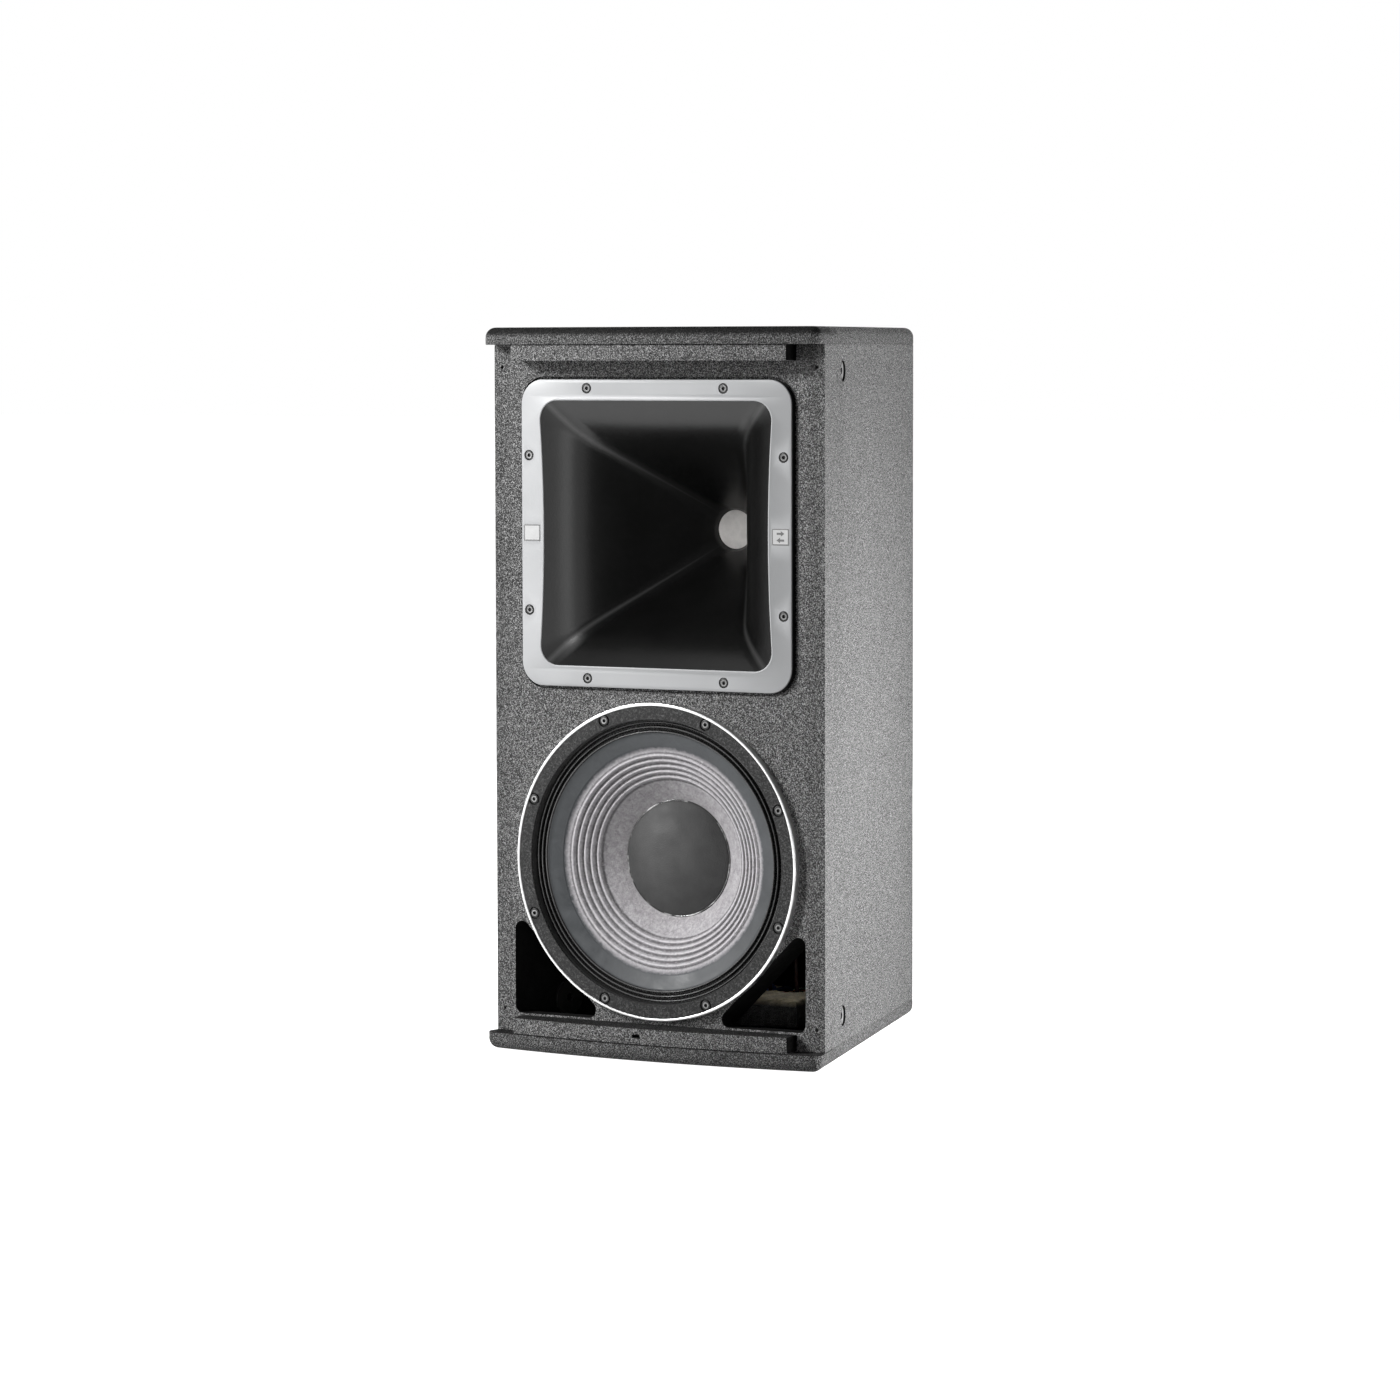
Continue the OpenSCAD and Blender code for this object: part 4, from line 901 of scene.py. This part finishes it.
def socket_screws(name, node, places, height, top, head_r, head_h, hex_across, hex_deep, shank_r, tip):
    """Socket-head screws: rounded, lightly dished heads with a six-sided hole."""
    bm = bmesh.new()
    for px, pz in places:
        def at(x, z, s):
            return (x * MM, depth(s), height + z * MM)

        soft = min(0.7, head_r * 0.2)
        profile = [
            (shank_r * 0.3, tip), (shank_r, tip - 2), (shank_r, top + head_h), (head_r - 0.2, top + head_h),
            (head_r, top + head_h - 0.3), (head_r, top + soft), (head_r - soft * 0.3, top + soft * 0.3),
            (head_r - soft, top),
        ]
        rings = [[at(x, z, s) for x, z in circle(px, pz, r, 36)] for r, s in profile]
        rows(bm, rings)
        bm.faces.new([bm.verts.new(p) for p in rings[0]])
        hexagon = hex_loop(px, pz, hex_across)
        ring_r = hex_across * 0.58 + 1.1
        ring = [at(x, z, top) for x, z in circle(px, pz, ring_r, 36)]
        rows(bm, [rings[-1], ring])
        plate_with_holes(bm, circle(px, pz, ring_r, 36), [hexagon], lambda x, z, at=at: at(x, z, top), 2)
        low = [at(x, z, top + hex_deep) for x, z in hexagon]
        rows(bm, [[at(x, z, top) for x, z in hexagon], low], 1)
        bm.faces.new([bm.verts.new(p) for p in low]).material_index = 1
    return finish_piece(name, bm, [M["black_steel"], M["black_coat"], M["screw_satin"]], node, 30)


horn_flange()
horn_bell()
horn_throat_flange()
socket_screws(
    "horn_screws_look", "horn_screws", horn_holes, horn_z, top=HORN_FRONT + 0.3,
    head_r=4.6, head_h=2.3, hex_across=3.6, hex_deep=1.8, shank_r=2.3, tip=15,
)


def badge(side, node):
    """Small raised plate; the right one carries a generic pair of arrows."""
    bm = bmesh.new()
    face = HORN_FRONT - 0.2

    def loop(cut, r, s):
        outline = rounded_rect(BADGE_HALF[0] - cut, BADGE_HALF[1] - cut, r, 3, 4)
        return [at_horn(x + side * BADGE_X, z, s) for x, z in outline]

    sides = [loop(0, 0.9, HORN_FRONT + BADGE_BACK), loop(0, 0.9, face + 0.25), loop(0.25, 0.9, face)]
    first, last = rows(bm, sides)
    edge = [bm.verts.new(point) for point in loop(1.1, 0.4, face)]
    bridge(bm, last, edge, 1)
    bm.faces.new(edge)
    bm.faces.new(first)
    if side > 0:
        def arrow(direction, shift):
            shape = [(-4, -1), (0.5, -1), (0.5, -2.6), (4.2, 0), (0.5, 2.6), (0.5, 1), (-4, 1)]
            points = [(BADGE_X + x * direction, z + shift) for x, z in shape]
            levels = (face + 0.01, face - 0.12)
            _, high = rows(bm, [[at_horn(x, z, s) for x, z in points] for s in levels], 1)
            bm.faces.new(high).material_index = 1

        arrow(1, 3.2)
        arrow(-1, -3.2)
    return finish_piece(node + "_look", bm, [M["badge_white"], M["badge_print"]], node, 30)


badge(-1, "left_badge")
badge(1, "right_badge")

# ---------------------------------------------------------------- woofer pieces

RIM_FRONT, RIM_R, FLANGE_FRONT = -7.8, 156.5, -3.2
CONE_EDGE, CAP_R, NECK_R = 125, 57.5, 50.6
SCREW_R = 148.4
RIB_HIGH, CAP_RISE = 2.5, 17
screw_angles = [22.5 + 45 * k for k in range(8)]
screw_turns = [math.radians(a) for a in screw_angles]
woofer_holes = [(SCREW_R * math.cos(a), SCREW_R * math.sin(a)) for a in screw_turns]


def cone_front(r):
    """Depth of the cone's front face at this radius: nearly straight, a little deeper towards the neck."""
    d = CONE_EDGE - r
    return 3.9 + 0.405 * d + 0.0024 * d * d


def rib(r):
    """Five rounded ribs pressed into the cone."""
    if not RIB_START < r < RIB_END:
        return 0.0
    wave = 0.5 - 0.5 * math.cos(math.tau * (r - RIB_START) / RIB_PITCH)
    return RIB_HIGH * wave**0.75


def basket():
    """Cast basket: flange with a bright rounded rim, eight legs and the ring that holds spider and motor."""
    bm = bmesh.new()
    flange = [
        (137.6, 5.6), (138.4, 3.6), (140.2, 3.6), (140.2, FLANGE_FRONT), (153.3, FLANGE_FRONT),
        (153.5, RIM_FRONT + 0.9), (153.8, RIM_FRONT + 0.3), (154.4, RIM_FRONT), (155.5, RIM_FRONT),
        (156.2, RIM_FRONT + 0.3), (RIM_R, RIM_FRONT + 1), (RIM_R, -0.1),
        (141.2, -0.1), (141.2, 20), (137.6, 20),
    ]
    lathe(bm, flange, woofer_z, 320, slot_of=lambda r: 0 if r > 153.4 else 1)
    motor_ring = [(86, 60), (98, 60), (98, 68), (94, 82), (56, 82), (56, 77), (86, 77)]
    lathe(bm, motor_ring, woofer_z, 128, slot_of=lambda r: 1)
    for angle in screw_angles:
        leg = [(139.4, 13), (140.6, 19), (97.2, 66), (90, 66), (92, 63), (134, 17)]
        lathe(bm, leg, woofer_z, 8, angle - 6, 12, slot_of=lambda r: 1)
    return finish_piece("basket_look", bm, [M["cast"], M["black_coat"]], "woofer_basket", 30)


def surround_profile():
    """Three rounded pleats between the cone's coated edge and the landing on the basket."""
    front = [(r, cone_front(r) - 0.4) for r in (113, 115, 117, 119, 121, 123, 125)]
    start, run, steps = 126.875, 11.25, 60
    for k in range(steps + 1):
        r = start + run * k / steps
        front.append((r, 2.6 - 2.1 * math.cos(math.tau * (r - PLEAT_MIDDLE) / PLEAT_PITCH)))
    front.append((140.2, 2.9))
    back = [(r, s + 0.6) for r, s in reversed(front[7:])]
    return front + back + [(125, cone_front(125)), (113, cone_front(113) - 0.02)]


def bending_ring(name, node, profile, mats, segments=224, slot_of=None):
    """A ring turned about a driver's axis; it is left where it is built, attached to no body."""
    bm = bmesh.new()
    body, axis_z = BENDERS[node]
    lathe(bm, profile, axis_z, segments, slot_of=slot_of)
    obj = finish_piece(name, bm, mats, node, 60, ride=False)
    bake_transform(obj)
    return obj


BENDERS = {
    "woofer_surround": ("cone_assembly", woofer_z),
    "woofer_spider": ("cone_assembly", woofer_z),
    "hf_surround": ("hf_diaphragm_assembly", horn_z),
}


def spider_profile():
    """Four shallow waves between the coil former and the basket."""
    front = [(50.7, 58.6)]
    for k in range(97):
        t = k / 96
        front.append((54 + 31 * t, 58.6 - 1.3 * math.sin(math.tau * 4 * t)))
    front += [(86, 58.9), (96.5, 59.2)]
    return front + [(r, s + 0.6) for r, s in reversed(front)]


def hf_surround_profile():
    """One thin half roll."""
    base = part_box("hf_surround")[1].y
    s0 = (base - baffle_y) / MM - 1.1
    front = [(38.3 + 4.7 * k / 16, s0 + 0.8 * math.sin(math.pi * k / 16)) for k in range(17)] + [(49.8, s0)]
    return front + [(r, s + 0.25) for r, s in reversed(front)]


def cone():
    """Ribbed paper cone, finely divided where the ribs are."""
    bm = bmesh.new()
    front = [(CONE_EDGE, cone_front(CONE_EDGE))]
    r = 122.0
    while r > NECK_R + 1:
        front.append((r, cone_front(r) - rib(r)))
        r -= RIB_PITCH / 12 if 78 < r < 107 else 2.4
    front.append((NECK_R, cone_front(NECK_R)))
    back = [(r, cone_front(r) + 1.4) for r in (NECK_R, 60, 72, 85, 98, 111, CONE_EDGE)]
    lathe(bm, front + back, woofer_z, 256)
    return finish_piece("cone_look", bm, [M["paper"]], "woofer_cone", 60)


def dust_cap():
    """Shallow dome over the voice coil."""
    bm = bmesh.new()
    base = cone_front(CAP_R) - 0.9
    radius = (CAP_R**2 + CAP_RISE**2) / (2 * CAP_RISE)
    front = []
    for k in range(31):
        r = CAP_R * k / 30
        front.append((r, base + radius - CAP_RISE - math.sqrt(radius**2 - r**2)))
    back = [(r, s + 0.8) for r, s in reversed(front)]
    lathe(bm, front + back, woofer_z, 192)
    return finish_piece("dust_cap_look", bm, [M["cap"]], "woofer_dust_cap", 60)


def glue_bead():
    """Uneven glossy bead where the dust cap meets the cone; its pale patches are painted glints."""
    bm = bmesh.new()
    rnd = random.Random(7)
    segments, around = 220, 10
    r0, s0 = CAP_R - 0.1, cone_front(CAP_R) - 0.7
    swell, rings = 0.0, []
    for i in range(segments):
        swell = 0.86 * swell + rnd.uniform(-0.06, 0.06)
        angle = math.tau * i / segments
        seam = min(i, segments - i) / segments * 12
        size = 0.95 + 0.2 * swell * min(1.0, seam)
        ring = []
        for k in range(around):
            b = math.tau * k / around
            r, s = r0 + 0.95 * size * math.cos(b), s0 + 0.9 * size * math.sin(b)
            x, up = r * MM * math.cos(angle), r * MM * math.sin(angle)
            ring.append(bm.verts.new((x, depth(s), woofer_z + up)))
        rings.append(ring)
    for i in range(segments):
        bridge(bm, rings[i], rings[(i + 1) % segments])
    return finish_piece("glue_bead", bm, [M["glue"]], "woofer_dust_cap", 80)


basket()
bending_ring(
    "surround_look", "woofer_surround", surround_profile(), [M["pleats"], M["coat"]], 256,
    slot_of=lambda r: 1 if r < 126 else 0,
)
bending_ring("spider_look", "woofer_spider", spider_profile(), [M["spider"]], 160)
bending_ring("hf_surround_look", "hf_surround", hf_surround_profile(), [M["film"]], 96)
cone()
dust_cap()
glue_bead()
refine("woofer_gasket", 0.5, 3, [M["gasket"]])
socket_screws(
    "woofer_screws_look", "woofer_screws", woofer_holes, woofer_z, top=FLANGE_FRONT - 3.6,
    head_r=4.8, head_h=3.6, hex_across=3.4, hex_deep=2.4, shank_r=3, tip=18,
)

PLUG_DEPTH, PLUG_R, PLUG_SUNK = 79, 10.0, 1.8
SOCKET_ACROSS, SOCKET_FLOOR = 6.2, 5.2


def side_plugs():
    """Flat plugs in the side panels: a disc with a hexagonal socket, sunk in a ring; ring and socket are
    painted near black as shade.
    """
    bm = bmesh.new()
    low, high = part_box("side_plug_screws")
    face_r, wall_r = PLUG_R - 1.6, PLUG_R - 0.5
    shank = [(1.5, -16.9), (4.2, -16.9), (4.2, -6.5), (6.4, -6.5)]
    ring = [(PLUG_R, -3.2), (PLUG_R, -0.1), (PLUG_R - 0.3, -0.1), (wall_r, -2.8)]
    disc = [(wall_r, -2.8), (PLUG_R - 0.6, -2.1), (PLUG_R - 1.0, -1.85), (face_r, -PLUG_SUNK)]
    socket = hex_loop(0, 0, SOCKET_ACROSS)
    for side in (-1, 1):
        out = Vector((side * math.cos(TAPER), math.sin(TAPER), 0))
        along = Vector((-side * math.sin(TAPER), math.cos(TAPER), 0))
        face = Vector((side * (half_front - math.tan(TAPER) * PLUG_DEPTH * MM), depth(PLUG_DEPTH), 0))
        for z in (low.z + PLUG_R * MM, high.z - PLUG_R * MM):
            def at(a, b, proud, z=z, face=face, along=along, out=out):
                return face + (along * a + out * proud) * MM + Vector((0, 0, z + b * MM))

            # slot 1 paints the ring and the socket's well near black, as shade
            for profile, slot in ((shank + ring, 1), (disc, 0)):
                rows(bm, [[at(a, b, proud) for a, b in circle(0, 0, r, 48)] for r, proud in profile], slot)
            plate_with_holes(bm, circle(0, 0, face_r, 48), [socket], lambda a, b, at=at: at(a, b, -PLUG_SUNK))
            well = [[at(a, b, -sunk) for a, b in socket] for sunk in (PLUG_SUNK, SOCKET_FLOOR)]
            _, floor_row = rows(bm, well, 1)
            bm.faces.new(floor_row).material_index = 1
    return finish_piece("side_plugs", bm, [M["plug_steel"], M["black_board"]], "side_plug_screws", 30)


side_plugs()

# ---------------------------------------------------------------- smaller CAD pieces, edges softened

SOFT_EDGES = {
    "input_plate": 0.4, "input_plate_screws": 0.12, "speaker_sockets": 0.4,
    "barrier_strip": 0.25, "barrier_cover": 0.25, "selector_knob": 0.45, "selector_switch": 0.3,
    "rigging_nuts": 0.25, "woofer_tee_nuts": 0.2, "horn_gasket": 0.2, "hf_back_cover": 0.8,
    "woofer_back_plate": 0.6, "woofer_top_plate": 0.4, "woofer_magnet": 0.8, "hf_magnet": 0.8,
    "hf_pole_plate": 0.4, "hf_top_plate": 0.4, "hf_clamp_ring": 0.2, "crossover_capacitors": 0.6,
    "crossover_resistors": 0.5, "crossover_board": 0.2, "window_brace": 0.5, "corner_cleats": 0.5,
    "left_port_board": 0.5, "right_port_board": 0.5, "crossover_coils": 0.5,
}
for part, width in SOFT_EDGES.items():
    refine(part, width)

# ---------------------------------------------------------------- stage, light and camera


def area_light(name, place, target, size, power):
    data = bpy.data.lights.new(name, "AREA")
    data.shape = "RECTANGLE"
    data.size, data.size_y = size
    data.energy = power
    lamp = new_object(name, data)
    lamp.location = place
    lamp.visible_camera = False
    lamp.rotation_mode = "QUATERNION"
    lamp.rotation_quaternion = (Vector(target) - lamp.location).to_track_quat("-Z", "Y")
    return lamp


def only_for(lamp, names, state="INCLUDE"):
    """The lamp lights only the named pieces, or all but them."""
    chosen = bpy.data.collections.new(lamp.name + "_" + state.lower())
    lamp.light_linking.receiver_collection = chosen
    for name in names:
        chosen.objects.link(bpy.data.objects[name])
    for link in chosen.collection_objects:
        link.light_linking.link_state = state


def card(name, corners):
    """One flat face."""
    mesh = bpy.data.meshes.new(name)
    mesh.from_pydata(corners, [], [(0, 1, 2, 3)])
    return new_object(name, mesh)


def dark_flag():
    """Black card at the left, seen only in reflections."""
    x, near, far, low, high = -1.0, -0.9, 0.6, -0.4, 1.2
    obj = card("flag", [(x, near, low), (x, far, low), (x, far, high), (x, near, high)])
    paint(obj, M["black_board"])
    obj.visible_camera = obj.visible_diffuse = obj.visible_shadow = False


def floor():
    """Wide, pale sweep that glows a little, like a light table."""
    half = 40
    obj = card("floor", [(-half, -half, 0), (half, -half, 0), (half, half, 0), (-half, half, 0)])
    obj.location.z = -0.0005
    mat = surface("pale_floor", span(0.8, 0.84), 0.6, (0.85, 0.95), (40, 0.00002), 0, 0.1)
    shader = mat.node_tree.nodes["Principled BSDF"]
    shader.inputs["Emission Color"].default_value = (1, 1, 1, 1)
    shader.inputs["Emission Strength"].default_value = FLOOR_GLOW
    paint(obj, mat)
    obj.visible_diffuse = False


def world():
    """White round the horizon, dim below and dark overhead."""
    scene = bpy.context.scene
    scene.world = bpy.data.worlds.new("studio")
    scene.world.use_nodes = True
    tree = scene.world.node_tree
    height = remap(tree, axes(tree, "Generated")["Z"], -1.0, 1.0, 0.0, 1.0)
    stops = [(0.48, grey(UNDERLIGHT)), (0.49, grey(1.0)), (0.55, grey(1.0)), (0.65, grey(CEILING))]
    sky = ramp(tree, height, stops)
    tree.links.new(sky, tree.nodes["Background"].inputs["Color"])
    scene.view_settings.view_transform = "Standard"


def camera():
    data = bpy.data.cameras.new("camera")
    data.sensor_width = 36
    data.lens = LENS
    data.clip_start, data.clip_end = 0.1, 200
    cam = new_object("camera", data)
    level = math.cos(PITCH)
    forward = Vector((-math.sin(YAW) * level, math.cos(YAW) * level, -math.sin(PITCH)))
    cam.location = (2.3777, baffle_y - 4.1915, woofer_z + 0.4987)
    cam.rotation_mode = "QUATERNION"
    cam.rotation_quaternion = forward.to_track_quat("-Z", "Y") @ Matrix.Rotation(ROLL, 3, "Z").to_quaternion()
    bpy.context.scene.camera = cam


FLOOR_GLOW, CEILING, UNDERLIGHT = 1.0, 0.05, 0.06
LENS, YAW, PITCH, ROLL = 127.17, 0.5074, 0.0704, -0.0021
floor()
world()
camera()
middle = (0, 0, cab_h / 2)
bell = ["horn_bell"]
linings = ["side_linings_look", "rear_lining_look", "floor_lining_look"]
woofer_front = ["surround_look", "cone_look", "basket_look", "glue_bead"]
only_for(area_light("key", (-1.35, -1.45, 1.45), middle, (0.42, 0.42), 58), bell, "EXCLUDE")
only_for(area_light("low_left", (-1.35, -1.4, 0.4), middle, (0.6, 0.6), 12), bell, "EXCLUDE")
only_for(area_light("bell_front", (0.35, -2.5, 2.05), middle, (0.3, 0.3), 20), bell + ["throat_screen"])
only_for(area_light("bell_top", (-0.4, -1.9, 1.9), middle, (1.3, 1.3), 11), bell)
only_for(area_light("bell_side", (1.25, -2.2, 0.5), middle, (1.2, 1.0), 8), bell)
only_for(area_light("woofer_right", (1.9, -1.25, 0.45), (0, 0, 0.45), (0.9, 1.0), 14), woofer_front)
only_for(area_light("inside", (0.09, depth(70), 0.15), (0.02, depth(380), 0.1), (0.04, 0.04), 0.06), linings)
area_light("side", (0.74, 0.1, 0.27), (0.15, 0.04, 0.27), (0.35, 0.35), 11)
area_light("rear", (-1.2, 2.6, 1.4), middle, (1.6, 1.6), 30)
dark_flag()
